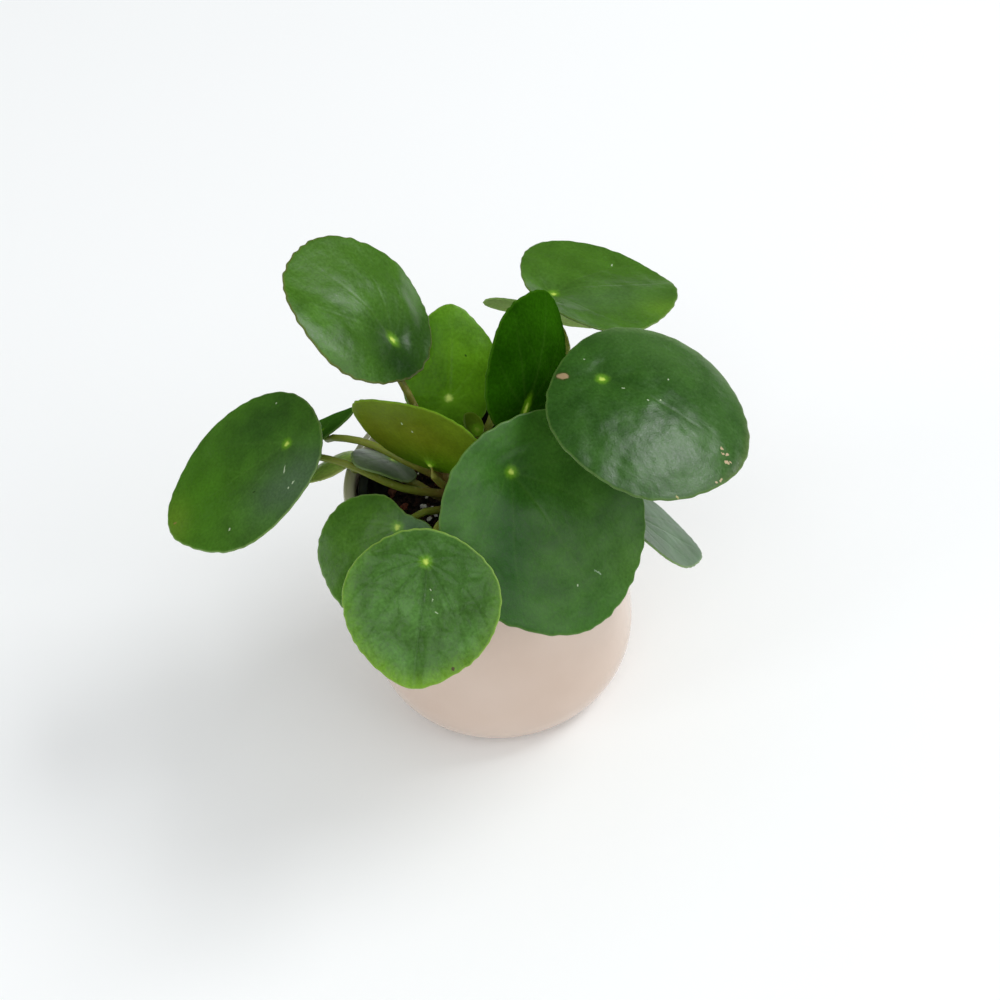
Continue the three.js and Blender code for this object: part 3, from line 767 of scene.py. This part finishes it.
def flesh_colour(tree, leaf, place, fleck):
    """Green of both sides of a blade, with its patches, some of them painted sheen and shade, and its
    veins and dapples.
    """
    vein = add_node(tree, "ShaderNodeAttribute", {"attribute_name": "vein"}).outputs["Fac"]
    upper = add_node(tree, "ShaderNodeAttribute", {"attribute_name": "upper_side"}).outputs["Fac"]
    tone_sheen_shade = add_node(tree, "ShaderNodeAttribute", {"attribute_name": "tone_sheen_shade"})

    # Broad clouds of about 8 mm, dappled by the flecks
    cloud = add_node(tree, "ShaderNodeTexNoise", {"Scale": 1 / 8, "Detail": 4}, {"Vector": place})
    spread = add_node(
        tree, "ShaderNodeMapRange", {"From Min": 0.34, "From Max": 0.66}, {"Value": cloud.outputs["Fac"]}
    ).outputs[0]
    dapple = add_node(
        tree, "ShaderNodeMapRange",
        {"From Min": 0.3, "From Max": 0.7, "To Min": 1 - leaf["mottle"], "To Max": 1 + leaf["mottle"]},
        {"Value": fleck},
    ).outputs[0]

    # Upper side: the leaf's green with its patches, some of them painted sheen and shade, and its veins
    flesh = add_node(
        tree, "ShaderNodeMix",
        {"data_type": "RGBA", 6: linear(leaf["deep"]), 7: linear(leaf["light"])}, {0: spread},
    ).outputs[2]
    patched = add_node(
        tree, "ShaderNodeMix", {"data_type": "RGBA"},
        {0: tone_sheen_shade.outputs["Alpha"], 6: flesh, 7: tone_sheen_shade.outputs["Color"]},
    ).outputs[2]
    vein_share = add_node(
        tree, "ShaderNodeMath", {"operation": "MULTIPLY", 1: leaf["vein_share"]}, {0: vein}
    ).outputs[0]
    veined = add_node(
        tree, "ShaderNodeMix", {"data_type": "RGBA", 7: linear(leaf["vein"])}, {0: vein_share, 6: patched}
    ).outputs[2]

    # Under side: paler and duller, with lighter veins
    under = add_node(
        tree, "ShaderNodeMix",
        {"data_type": "RGBA", 6: linear(leaf["under"]), 7: linear(leaf["under_light"])}, {0: spread},
    ).outputs[2]
    through = add_node(
        tree, "ShaderNodeMath", {"operation": "MULTIPLY", 1: leaf["through"]}, {0: tone_sheen_shade.outputs["Alpha"]}
    ).outputs[0]
    under = add_node(
        tree, "ShaderNodeMix", {"data_type": "RGBA"}, {0: through, 6: under, 7: tone_sheen_shade.outputs["Color"]}
    ).outputs[2]
    under_share = add_node(
        tree, "ShaderNodeMath", {"operation": "MULTIPLY", 1: leaf["under_vein_share"]}, {0: vein}
    ).outputs[0]
    under = add_node(
        tree, "ShaderNodeMix", {"data_type": "RGBA", 7: linear(leaf["under_vein"])},
        {0: under_share, 6: under},
    ).outputs[2]
    sides = add_node(
        tree, "ShaderNodeMix", {"data_type": "RGBA"}, {0: upper, 6: under, 7: veined}
    ).outputs[2]
    return add_node(
        tree, "ShaderNodeMix", {"data_type": "RGBA", "blend_type": "MULTIPLY", 0: 1.0},
        {6: sides, 7: dapple},
    ).outputs[2]


def wandered(tree, place, wander, amount):
    """Places on a blade, each moved by a noise's colour, by up to half the amount in millimetres."""
    centred = add_node(
        tree, "ShaderNodeVectorMath", {"operation": "SUBTRACT", 1: (0.5, 0.5, 0.5)}, {0: wander}
    ).outputs[0]
    return add_node(
        tree, "ShaderNodeVectorMath", {"operation": "MULTIPLY_ADD", 1: (amount, amount, 0)},
        {0: centred, 2: place},
    ).outputs[0]


def skin_layers(tree, leaf, place, ragged):
    """What lies over the green: dot, pores, marks and rim, each as its share and its colour."""
    layers = []

    # Pale dot where the stalk joins: a core of 1 mm in a green halo, with a ragged outline
    dot = add_node(
        tree, "ShaderNodeMapping", {"vector_type": "TEXTURE", "Scale": (*leaf["dot"], 1)},
        {"Vector": wandered(tree, place, ragged, 1.2)},
    ).outputs[0]
    reach = add_node(tree, "ShaderNodeVectorMath", {"operation": "LENGTH"}, {0: dot}).outputs["Value"]
    for hold, fade, share, shade in ((0.5, 2.4, 0.75, leaf["halo"]), (0.2, 1.0, 0.95, leaf["core"])):
        spot = {"From Min": hold, "From Max": fade, "To Min": share, "To Max": 0}
        layers.append((add_node(
            tree, "ShaderNodeMapRange", {**spot, "interpolation_type": "SMOOTHSTEP"}, {"Value": reach}
        ).outputs[0], shade))

    # Sparse pores and dust, one in some ten fields of 5 mm: pale ones 0.3 mm wide, dark ones 0.4 mm
    for seed, width, shade in ((0, 0.028, "#9db07e"), (40, 0.036, "#2a4010")):
        moved = add_node(tree, "ShaderNodeMapping", {"Location": (seed, seed, 0)}, {"Vector": place})
        grain = add_node(tree, "ShaderNodeTexVoronoi", {"Scale": 1 / 5}, {"Vector": moved.outputs[0]})
        chosen = add_node(
            tree, "ShaderNodeMath", {"operation": "GREATER_THAN", 1: 0.9}, {0: grain.outputs["Color"]}
        ).outputs[0]
        close = add_node(
            tree, "ShaderNodeMapRange",
            {"From Min": width / 2, "From Max": width, "To Min": 0.3, "To Max": 0},
            {"Value": grain.outputs["Distance"]},
        ).outputs[0]
        layers.append((add_node(
            tree, "ShaderNodeMath", {"operation": "MULTIPLY"}, {0: chosen, 1: close}
        ).outputs[0], shade))

    # Scars, scratches and spots that this leaf bears. Coarse and fine wander of 1.2 and 0.35 mm
    # gives them torn outlines
    frayed = add_node(
        tree, "ShaderNodeTexNoise", {"Scale": 1 / 0.35, "Detail": 2}, {"Vector": place}
    ).outputs["Color"]
    torn = wandered(tree, wandered(tree, place, ragged, 1.1), frayed, 0.45)
    for (u, v), (length, width), heading, shade in leaf["marks"]:
        spot = add_node(
            tree, "ShaderNodeMapping",
            {
                "vector_type": "TEXTURE", "Location": (u, v, 0), "Rotation": (0, 0, math.radians(heading)),
                "Scale": (length / 2, width / 2, 1),
            }, {"Vector": torn},
        ).outputs[0]
        off = add_node(tree, "ShaderNodeVectorMath", {"operation": "LENGTH"}, {0: spot}).outputs["Value"]
        layers.append((add_node(
            tree, "ShaderNodeMapRange", {"From Min": 0.75, "From Max": 1.1, "To Min": 0.95, "To Max": 0},
            {"Value": off},
        ).outputs[0], shade))

    # Thin rim of another colour
    inset = add_node(tree, "ShaderNodeAttribute", {"attribute_name": "inset"}).outputs["Fac"]
    layers.append((add_node(
        tree, "ShaderNodeMapRange",
        {"From Min": 0.1, "From Max": 0.6, "To Min": leaf["rim_share"], "To Max": 0}, {"Value": inset},
    ).outputs[0], leaf["rim"]))
    return layers


def skin_relief(tree, leaf, place, ragged):
    """Fine relief of a blade's skin, as the normal that its surface takes."""
    # Net of small sunken veins round fields of 5 mm that swell a little
    net = add_node(
        tree, "ShaderNodeTexVoronoi", {"Scale": 1 / 5, "feature": "DISTANCE_TO_EDGE"},
        {"Vector": wandered(tree, place, ragged, 1.6)},
    ).outputs["Distance"]
    field = add_node(
        tree, "ShaderNodeMapRange", {"From Max": 0.32, "interpolation_type": "SMOOTHSTEP"}, {"Value": net}
    ).outputs[0]
    normal = add_node(
        tree, "ShaderNodeBump", {"Strength": leaf["quilt"], "Distance": 0.3 * MM}, {"Height": field}
    ).outputs[0]
    # Small puckers of 2.4 mm, and skin cells drawn at 0.5 mm, coarser than real
    for size, depth, strength in ((2.4, 0.14, 0.5), (0.5, 0.05, 0.5)):
        skin = add_node(tree, "ShaderNodeTexNoise", {"Scale": 1 / size, "Detail": 2}, {"Vector": place})
        bump = add_node(
            tree, "ShaderNodeBump", {"Strength": strength, "Distance": depth * MM},
            {"Height": skin.outputs["Fac"], "Normal": normal},
        )
        normal = bump.outputs[0]
    return normal


def blade_skin(leaf):
    """Waxy cuticle over fleshy green: half gloss, so lights show soft-edged, faintly mottled."""
    material, tree, surface = new_finish("waxy_cuticle_" + leaf["node"].removeprefix("leaf_"))
    place = add_node(tree, "ShaderNodeAttribute", {"attribute_name": "place"}).outputs["Vector"]
    # Flecks of about 0.8 mm, and a coarser noise of 1.2 mm that makes outlines ragged
    fleck = add_node(
        tree, "ShaderNodeTexNoise", {"Scale": 1 / 0.8, "Detail": 4}, {"Vector": place}
    ).outputs["Fac"]
    ragged = add_node(
        tree, "ShaderNodeTexNoise", {"Scale": 1 / 1.2, "Detail": 3}, {"Vector": place}
    ).outputs["Color"]

    colour = flesh_colour(tree, leaf, place, fleck)
    for share, shade in skin_layers(tree, leaf, place, ragged):
        colour = add_node(
            tree, "ShaderNodeMix", {"data_type": "RGBA", 7: linear(shade)}, {0: share, 6: colour}
        ).outputs[2]
    rough = add_node(
        tree, "ShaderNodeMapRange", {"From Min": 0.3, "From Max": 0.7, "To Min": 0.28, "To Max": 0.4},
        {"Value": fleck},
    ).outputs[0]
    tree.links.new(colour, surface.inputs["Base Color"])
    tree.links.new(rough, surface.inputs["Roughness"])
    tree.links.new(skin_relief(tree, leaf, place, ragged), surface.inputs["Normal"])
    surface.inputs["IOR"].default_value = 1.45
    surface.inputs["Specular IOR Level"].default_value = leaf["gloss"]
    surface.inputs["Subsurface Weight"].default_value = 0.08
    surface.inputs["Subsurface Radius"].default_value = (0.5, 1, 0.2)
    surface.inputs["Subsurface Scale"].default_value = 0.8 * MM
    return material


def blade_section():
    """Stations of a blade's section, from the upper middle over the rim to the lower middle."""
    section = [("upper", i / UPPER_RINGS) for i in range(1, UPPER_RINGS + 1)]
    section += [("rim", math.pi * i / RIM_STEPS) for i in range(1, RIM_STEPS)]
    return section + [("lower", i / LOWER_RINGS) for i in range(LOWER_RINGS, 0, -1)]


def blade_faces(rings, count):
    """Faces between a blade's rings of points, and round the middle point of each side."""
    faces = []
    top, bottom = rings * count, rings * count + 1
    for spoke in range(count):
        after = (spoke + 1) % count
        faces.append((top, spoke, after))
        faces.append((bottom, (rings - 1) * count + after, (rings - 1) * count + spoke))
        for ring in range(rings - 1):
            inner, outer = ring * count, (ring + 1) * count
            faces.append((inner + spoke, outer + spoke, outer + after, inner + after))
    return faces


def blade(leaf, seed):
    """One blade: its solid's outline and dish, with a rounded rim, veins, scallops and puckers."""
    at, normal, tip, across, spokes = read_blade(leaf["node"])
    draw = np.random.RandomState(seed)
    known_reach = np.hypot(spokes[-1, :, 0], spokes[-1, :, 1])
    shares = np.append(0, np.hypot(spokes[:, 0, 0], spokes[:, 0, 1]) / known_reach[0])

    count = int(known_reach.mean() * 2 * np.pi * SPOKES_A_MM)
    rounds = np.linspace(0, 2 * np.pi, count, endpoint=False)
    outline = round_curve(spokes[-1, :, :2], rounds)
    heights = np.column_stack([np.zeros(count), round_curve(spokes[:, :, 2].T, rounds)])
    turns = np.arctan2(outline[:, 1], outline[:, 0])
    even_reach = np.hypot(outline[:, 0], outline[:, 1])
    reach = even_reach.copy()
    for waves, share in MARGIN_SCALLOPS:
        shift, wander = draw.rand(2) * 2 * np.pi
        swing = np.sin(waves * rounds + shift + 1.6 * np.sin(3 * rounds + wander))
        reach += leaf["scallop"] * share * swing * (0.4 + 0.6 * np.sin(2 * rounds + wander) ** 2)
    spread = draw.randn(len(MAIN_VEINS), 2) * 4

    points, veins, insets, uppers = [], [], [], []
    for part, value in blade_section():
        if part == "rim":
            inset = np.full(count, RIM_WIDTH * (1 - math.sin(value)))
            radius = reach - inset
            depth = (1 - math.cos(value)) / 2
        else:
            radius = (reach - RIM_WIDTH) * value
            inset = reach - radius
            depth = float(part == "lower")
        share = radius / even_reach
        vein = vein_strength(turns, share, radius, spread) * np.clip(inset / 1.5, 0, 1)
        height = along_spokes(shares, heights, share)
        height -= BLADE_THICKNESS * (1 - 0.3 * share ** 4) * depth
        if part == "upper":
            height -= leaf["groove"] * vein
        if part == "lower":
            height -= leaf["ridge"] * vein * (1 - 0.6 * share)
            height -= STALK_COLLAR["depth"] * np.exp(-((radius / STALK_COLLAR["width"]) ** 2))
        points.append(np.column_stack([radius * np.cos(turns), radius * np.sin(turns), height]))
        veins.append(vein)
        insets.append(inset)
        uppers.append(np.full(count, float(depth < 0.5)))
    flat = np.vstack(points + [[[0, 0, 0]], [[0, 0, -BLADE_THICKNESS - STALK_COLLAR["depth"]]]])
    shape_skin(leaf, flat, draw)
    solid = at + flat[:, :1] * tip + flat[:, 1:2] * across + flat[:, 2:] * normal
    faces = blade_faces(len(points), count)
    piece = new_piece(leaf["node"].replace("leaf", "blade"), solid, faces, blade_skin(leaf))

    along, aside = flat[:, 0], flat[:, 1]
    place = np.column_stack([along, aside, np.zeros(len(flat))])
    edge = np.append(np.concatenate(insets), [FAR_FROM_MARGIN] * 2)
    layers = {
        "place": ("FLOAT_VECTOR", "vector", place),
        "tone_sheen_shade": ("FLOAT_COLOR", "color", blade_tones_sheen_shade(leaf, along, aside, edge)),
        "vein": ("FLOAT", "value", np.append(np.concatenate(veins), (0, 0))),
        "inset": ("FLOAT", "value", edge),
        "upper_side": ("FLOAT", "value", np.append(np.concatenate(uppers), (1, 0))),
    }
    for name, (kind, field, values) in layers.items():
        layer = piece.data.attributes.new(name, kind, "POINT")
        layer.data.foreach_set(field, values.astype(np.float32).ravel())
    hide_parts(leaf["node"])
    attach(piece, "root")


# Each leaf's colours and forms, in millimetres along its tip and across it from its dot. Groove and
# ridge are the depths of its veins above and below, pucker the height of its swellings, scallop the
# depth of its margin's waves, and quilt and mottle the strengths of its fine net and its flecks.
# Gloss is how much its skin mirrors, and through how much its tones show on the under side.
# A tone is a soft patch, some of the leaf's own green and some painted sheen and shade: place, length and
# width, heading, colour, share, and how far it reaches in from the margin or 0. A mark is a hard-edged
# spot:
# place, length and width, heading, colour.
# A fold is a heading from the dot in degrees, a depth and a width. A bend is a heading, where it
# starts, how far it runs and how far it lifts what lies beyond.
CORK = "#bda684"
CHALK = "#b4c4a2"
GREEN = {
    "deep": "#365a12", "light": "#487317", "vein": "#6c9440", "vein_share": 0.08, "rim": "#8da85c",
    "rim_share": 0.4, "under": "#64804a", "under_light": "#76905a", "under_vein": "#9fb17e",
    "under_vein_share": 0.7, "pucker": 0.1, "groove": 0.07, "mottle": 0.15, "gloss": 0.45, "scallop": 0.22,
    "dot": (1.0, 1.0), "halo": "#6aa015", "core": "#c3da5e", "ridge": 0.28, "quilt": 0.03, "through": 0,
    "tones_sheen_shade": [], "marks": [], "folds": [], "bends": [],
}
BRIGHT = {
    **GREEN, "deep": "#3f6c06", "light": "#528409", "vein": "#7fa83a", "rim": "#7da02c",
    "under": "#5c7010", "under_light": "#6e8318", "under_vein": "#8a9838", "gloss": 0.25,
}
DARK = {**GREEN, "deep": "#264c12", "light": "#355f1c", "rim": "#6f8c46"}
LEAVES = [
    {
        **GREEN, "node": "leaf_high_left", "deep": "#386010", "light": "#48761a", "rim": "#7d6a45",
        "scallop": 0.4, "pucker": 0.1, "groove": 0.06, "gloss": 0.38, "dot": (1.3, 0.9), "quilt": 0.08,
        "tones_sheen_shade": [
            ((14, -8), (16, 8), 20, "#3f6818", 0.8, 0), ((25, -2), (8, 13), 0, "#466f1c", 0.9, 0),
            # The two darkest patches, behind the dot, are painted shade.
            ((-6, 4), (10, 9), 0, "#103202", 0.95, 0), ((-4, -6), (14, 6), 60, "#24480a", 0.8, 0),
        ],
        "folds": [(20, 0.12, 2.4)], "bends": [(90, 4, 14, 1.7), (215, 1, 9, -1.6)],
    },
    {
        **GREEN, "node": "leaf_far_left", "deep": "#365c14", "light": "#46751a", "gloss": 0.38,
        "tones_sheen_shade": [
            ((28, -1), (12, 16), 0, "#477c10", 0.7, 0), ((37, 1), (5, 8), 0, "#6b8f1e", 0.6, 0),
            # The grey-green patch beside the dot is a painted sheen.
            ((5, -10), (12, 8), 0, "#2c511c", 0.6, 0), ((1, 13), (13, 9), 0, "#526750", 0.7, 0),
        ],
        "marks": [
            ((2.3, 7.5), (2.6, 0.45), 70, CHALK), ((0.9, 13.1), (1.2, 0.5), 30, CHALK),
            ((2.6, 13.6), (0.5, 0.4), 0, CHALK), ((-0.3, -14.4), (0.5, 0.4), 0, CHALK),
            ((12.1, 8.3), (0.8, 0.5), 0, "#233509"), ((36.9, 1), (1.1, 0.6), 0, "#8a7a3c"),
            ((21.5, 14.3), (0.6, 0.5), 0, CHALK),
        ],
        "folds": [(0, 0.7, 5)],
    },
    {
        **BRIGHT, "node": "leaf_back_centre", "deep": "#4c7c0a", "light": "#609414", "vein_share": 0.1,
        "dot": (1.4, 1.4), "core": "#d8f07a",
        "tones_sheen_shade": [((17, 7), (6, 5), 0, "#4c8210", 0.5, 0)],
        "marks": [((16.9, 6.7), (0.6, 0.5), 0, "#274504"), ((11, -4), (0.6, 0.5), 0, "#274504")],
    },
    {
        # Its near-black greens are partly painted shade: this blade stands upright, turned away from the
        # light.
        **DARK, "node": "leaf_upright", "deep": "#143602", "light": "#1f4704", "gloss": 0.0,
        "vein_share": 0.05, "dot": (2.2, 0.8), "rim": "#3f6a14", "mottle": 0.2,
        "tones_sheen_shade": [((4, 0), (9, 9), 0, "#123502", 0.6, 0), ((24, 0), (7, 8), 0, "#2c5c08", 0.5, 0)],
    },
    {
        **GREEN, "node": "leaf_back_right", "deep": "#3d6418", "light": "#4b7720", "rim": "#7a8a4a",
        "tones_sheen_shade": [
            # The first, grey-green patch along the near half is a painted sheen.
            ((11, -6), (16, 6), 0, "#4f6e40", 0.55, 0), ((25, -13), (6, 5), 0, "#6b9526", 0.5, 0),
            ((12, 14), (18, 8), 0, "#446f14", 0.4, 0), ((34, 1), (3, 4), 0, "#5d8a22", 0.6, 0),
        ],
        "marks": [((22.2, 20.6), (3, 0.4), 60, "#9fb480"), ((20, 10.9), (1.3, 0.4), 50, CHALK)],
        "folds": [(-8, -0.7, 6)],
    },
    {
        **GREEN, "node": "leaf_rear", "under": "#7f9d56", "under_light": "#8cab62", "gloss": 0.0,
        "deep": "#5c7f38", "light": "#6c9044",
    },
    {
        **DARK, "node": "leaf_high_right", "gloss": 0.5, "pucker": 0.16, "vein_share": 0.04,
        "groove": 0.04, "quilt": 0.1,
        "tones_sheen_shade": [
            ((6, 18), (18, 8), 0, "#4b7232", 0.6, 0), ((30, -4), (8, 16), 0, "#3f6a24", 0.45, 0),
            # The pale grey-green band along the margin at one side is a painted sheen.
            ((12, 22), (22, 8), 0, "#7a9362", 0.6, 2.2), ((36, 3), (6, 12), 0, "#6c7a46", 0.5, 1.4),
        ],
        "marks": [
            ((-8.3, -4.3), (3.6, 2.8), 20, "#3f4a1c"), ((-8.3, -4.3), (2.7, 1.9), 20, "#a08866"),
            ((32.4, -1), (0.9, 0.7), 0, CORK), ((33.3, -1.9), (0.8, 0.6), 40, CORK),
            ((34.3, -1.3), (1.1, 0.7), 70, CORK), ((35, -3), (1.5, 1), 20, CORK),
            ((35.8, -2.2), (0.8, 0.5), 0, CORK), ((35.9, -8.2), (1.3, 0.7), 75, CORK),
            ((35.3, -9.6), (0.8, 0.5), 30, CORK), ((29.2, -19), (1, 0.6), 0, "#a99b62"),
            ((12, -1.4), (0.7, 0.5), 0, CHALK), ((14.6, 0.7), (0.6, 0.4), 0, CHALK),
            ((5.5, -0.8), (0.5, 0.4), 0, CHALK), ((13.5, 8.4), (0.5, 0.4), 0, CHALK),
            ((-6.3, 3.6), (0.5, 0.4), 0, CHALK),
        ],
        "folds": [(-25, 0.12, 3.5)],
    },
    {
        **DARK, "node": "leaf_front_large", "deep": "#2f5a16", "light": "#406e22", "gloss": 0.33,
        "scallop": 0.35, "pucker": 0.12, "groove": 0.05, "quilt": 0.04,
        "tones_sheen_shade": [
            # The long dark band running from the dot is painted shade.
            ((14, -12), (24, 6.5), -40, "#1b4e02", 0.95, 0), ((38, 14), (8, 8), 0, "#4f7c26", 0.6, 0),
            ((10, 3), (8, 6), 0, "#2d5c10", 0.6, 0), ((42, -4), (6, 12), 0, "#3a6a1c", 0.6, 0),
        ],
        "marks": [
            ((31.9, 3.5), (2.6, 0.35), 30, "#8fa987"), ((31.2, -2.7), (0.8, 0.4), 0, CHALK),
        ],
        "folds": [(8, -0.6, 8)],
    },
    {
        **GREEN, "node": "leaf_front_round", "deep": "#385f1a", "light": "#527f36", "pucker": 0.34,
        "groove": 0.22, "vein_share": 0.4, "vein": "#2f5518", "rim": "#8fb048", "rim_share": 0.6,
        "mottle": 0.18, "quilt": 0.4, "gloss": 0.4,
        "tones_sheen_shade": [
            ((-1, 8), (9, 12), 0, "#35601a", 0.6, 0), ((-3, -6), (6, 9), 0, "#386218", 0.6, 0),
            ((26, 0), (12, 22), 0, "#6f9c1c", 0.85, 3), ((12, -16), (14, 8), 0, "#5b8a1c", 0.7, 2.6),
            ((12, 16), (14, 8), 0, "#558018", 0.6, 2.4),
        ],
        "marks": [
            ((6.3, 1.7), (0.7, 0.4), 30, CHALK), ((11.2, 3.8), (0.8, 0.35), 60, CHALK),
            ((23.7, 8.8), (0.9, 0.6), 0, "#4a3a1c"), ((8.5, 2.4), (0.5, 0.3), 0, CHALK),
        ],
        "folds": [(0, 0.5, 1.4), (38, 0.25, 1.6), (-38, 0.25, 1.6)],
    },
    {
        **GREEN, "node": "leaf_front_left", "deep": "#386210", "light": "#477514", "scallop": 0.25,
        "tones_sheen_shade": [((-2, 3), (5, 4), 0, "#4a6c4a", 0.6, 0), ((18, -4), (6, 8), 0, "#3c680c", 0.5, 0)],
        "folds": [(0, 0.4, 3)],
    },
    {
        **BRIGHT, "node": "leaf_inner", "under_vein_share": 0.04, "gloss": 0.05, "ridge": 0.08,
        # Its olive under side is painted light: light through the blade from behind, in shade.
        "through": 1, "under": "#51680e", "under_light": "#607816",
        "tones_sheen_shade": [
            ((12, 0), (8, 9), 0, "#686812", 0.45, 0), ((-1, 6), (6, 8), 0, "#467006", 0.7, 0),
            ((8, -13), (9, 6), 0, "#5a5e0c", 0.6, 0), ((-2, -4), (4, 9), 0, "#3c6206", 0.7, 0),
        ],
        "marks": [((15.5, -3.1), (0.9, 0.5), 0, CHALK), ((13, -1), (0.6, 0.4), 0, CHALK)],
    },
    {**DARK, "node": "leaf_back_left", "deep": "#2c5214", "light": "#38621c", "gloss": 0.0},
    {
        # Its grey-green is partly a painted reflection of a pale sky.
        **GREEN, "node": "leaf_over_rim", "deep": "#56684a", "light": "#687a5a", "gloss": 0.4,
        "tones_sheen_shade": [((7, 0), (3.5, 12), 0, "#27480f", 0.95, 3)],
        "marks": [((3.7, 1.4), (0.8, 0.6), 0, "#26300f"), ((1, 3), (0.6, 0.5), 0, "#26300f")],
    },
    {**GREEN, "node": "leaf_low_right", "deep": "#42603a", "light": "#557350"},
    {
        # Its bright yellow-green is partly painted light, brightened to make up for the shade it hangs in.
        **BRIGHT, "node": "leaf_hanging", "deep": "#a4c45c", "light": "#bad26e", "rim": "#cdd090",
        "gloss": 0.05, "tones_sheen_shade": [((6, 0), (4, 10), 0, "#a8ac58", 0.6, 1.6)],
    },
    {**BRIGHT, "node": "leaf_young", "deep": "#456008", "light": "#587410", "core": "#8aa838"},
]
for seed, leaf in enumerate(LEAVES, 11):
    blade(leaf, seed)


# Studio. A plain pale floor and an even pale surround, with a window-like softbox at the right, a
# weaker one in front of it, a weak one at the front and a low strip at the left. Azimuth and
# elevation, width and height are in degrees as seen from the plant.
FLOOR_SIZE = 20
ROOM_TINT = "#f6f8fa"
ROOM_STRENGTH = 0.6
SOFTBOX_DISTANCE = 2.5
SOFTBOX_TINT = (0.95, 0.98, 1.0)
SOFTBOX_AIM = Vector((0, 0, 80)) * MM
SOFTBOXES = [
    {"name": "window", "azimuth": 9, "elevation": 46, "size": (24, 20), "radiance": 8.8},
    {"name": "side", "azimuth": -30, "elevation": 32, "size": (36, 24), "radiance": 2.2},
    {"name": "front", "azimuth": -104, "elevation": 50, "size": (26, 26), "radiance": 2.0},
    {"name": "strip", "azimuth": 196, "elevation": 14, "size": (16, 26), "radiance": 4},
]


def matte_floor():
    """Off-white board: quite matte, so it gives back soft light and no reflections."""
    material, tree, surface = new_finish("matte_board")
    place = add_node(tree, "ShaderNodeTexCoord").outputs["Object"]
    # Faint clouds about 330 mm wide
    cloud = add_node(tree, "ShaderNodeTexNoise", {"Scale": 3, "Detail": 2}, {"Vector": place})
    colour = add_node(
        tree, "ShaderNodeMix",
        {"data_type": "RGBA", 6: linear("#f9f9f8"), 7: linear("#fcfcfb")}, {0: cloud.outputs["Fac"]},
    )
    tree.links.new(colour.outputs[2], surface.inputs["Base Color"])
    surface.inputs["Roughness"].default_value = 0.9
    return material


def softbox(name, azimuth, elevation, size, radiance):
    """A rectangular light that faces the plant."""
    azimuth, elevation = math.radians(azimuth), math.radians(elevation)
    heading = Vector((
        math.cos(elevation) * math.cos(azimuth), math.cos(elevation) * math.sin(azimuth),
        math.sin(elevation),
    ))
    light = bpy.data.lights.new(name, "AREA")
    light.shape = "RECTANGLE"
    light.size, light.size_y = [2 * SOFTBOX_DISTANCE * math.tan(math.radians(s / 2)) for s in size]
    light.energy = radiance * math.pi * light.size * light.size_y
    light.color = SOFTBOX_TINT
    lamp = bpy.data.objects.new(name, light)
    lamp.location = heading * SOFTBOX_DISTANCE + SOFTBOX_AIM
    lamp.rotation_euler = (-heading).to_track_quat("-Z", "Y").to_euler()
    bpy.context.scene.collection.objects.link(lamp)


def studio():
    """Floor, softboxes and the even light of the room."""
    half = FLOOR_SIZE / 2 / MM
    floor = new_piece(
        "floor", [[-half, -half, 0], [half, -half, 0], [half, half, 0], [-half, half, 0]], [(0, 1, 2, 3)],
        matte_floor(),
    )
    for box in SOFTBOXES:
        softbox(**box)
    world = bpy.data.worlds.new("pale_room")
    world.use_nodes = True
    world.node_tree.nodes["Background"].inputs["Color"].default_value = linear(ROOM_TINT)
    world.node_tree.nodes["Background"].inputs["Strength"].default_value = ROOM_STRENGTH
    world.cycles_visibility.glossy = False
    bpy.context.scene.world = world
    bpy.context.scene.view_settings.view_transform = "Standard"


studio()


# Camera. It looks down on the plant from the front, rolled so that the pot leans to the left, at
# the photograph's distance and field of view.
CAMERA_TARGET = Vector((4.8, 0, 64)) * MM
CAMERA_DISTANCE = 430 * MM
CAMERA_ELEVATION = math.radians(46)
CAMERA_ROLL = math.radians(9)
CAMERA_LENS = 59.04
CAMERA_SENSOR = 36


def photo_camera():
    """The scene's camera, placed and turned from the values above."""
    camera = bpy.data.objects.new("camera", bpy.data.cameras.new("camera"))
    camera.data.lens = CAMERA_LENS
    camera.data.sensor_width = CAMERA_SENSOR
    camera.data.clip_start = 0.01
    forward = Vector((0, math.cos(CAMERA_ELEVATION), -math.sin(CAMERA_ELEVATION)))
    level_right = Vector((1, 0, 0))
    level_up = level_right.cross(forward)
    right = level_right * math.cos(CAMERA_ROLL) - level_up * math.sin(CAMERA_ROLL)
    up = level_right * math.sin(CAMERA_ROLL) + level_up * math.cos(CAMERA_ROLL)
    camera.location = CAMERA_TARGET - forward * CAMERA_DISTANCE
    camera.rotation_euler = Matrix((right, up, -forward)).transposed().to_euler()
    bpy.context.scene.collection.objects.link(camera)
    bpy.context.scene.camera = camera


photo_camera()
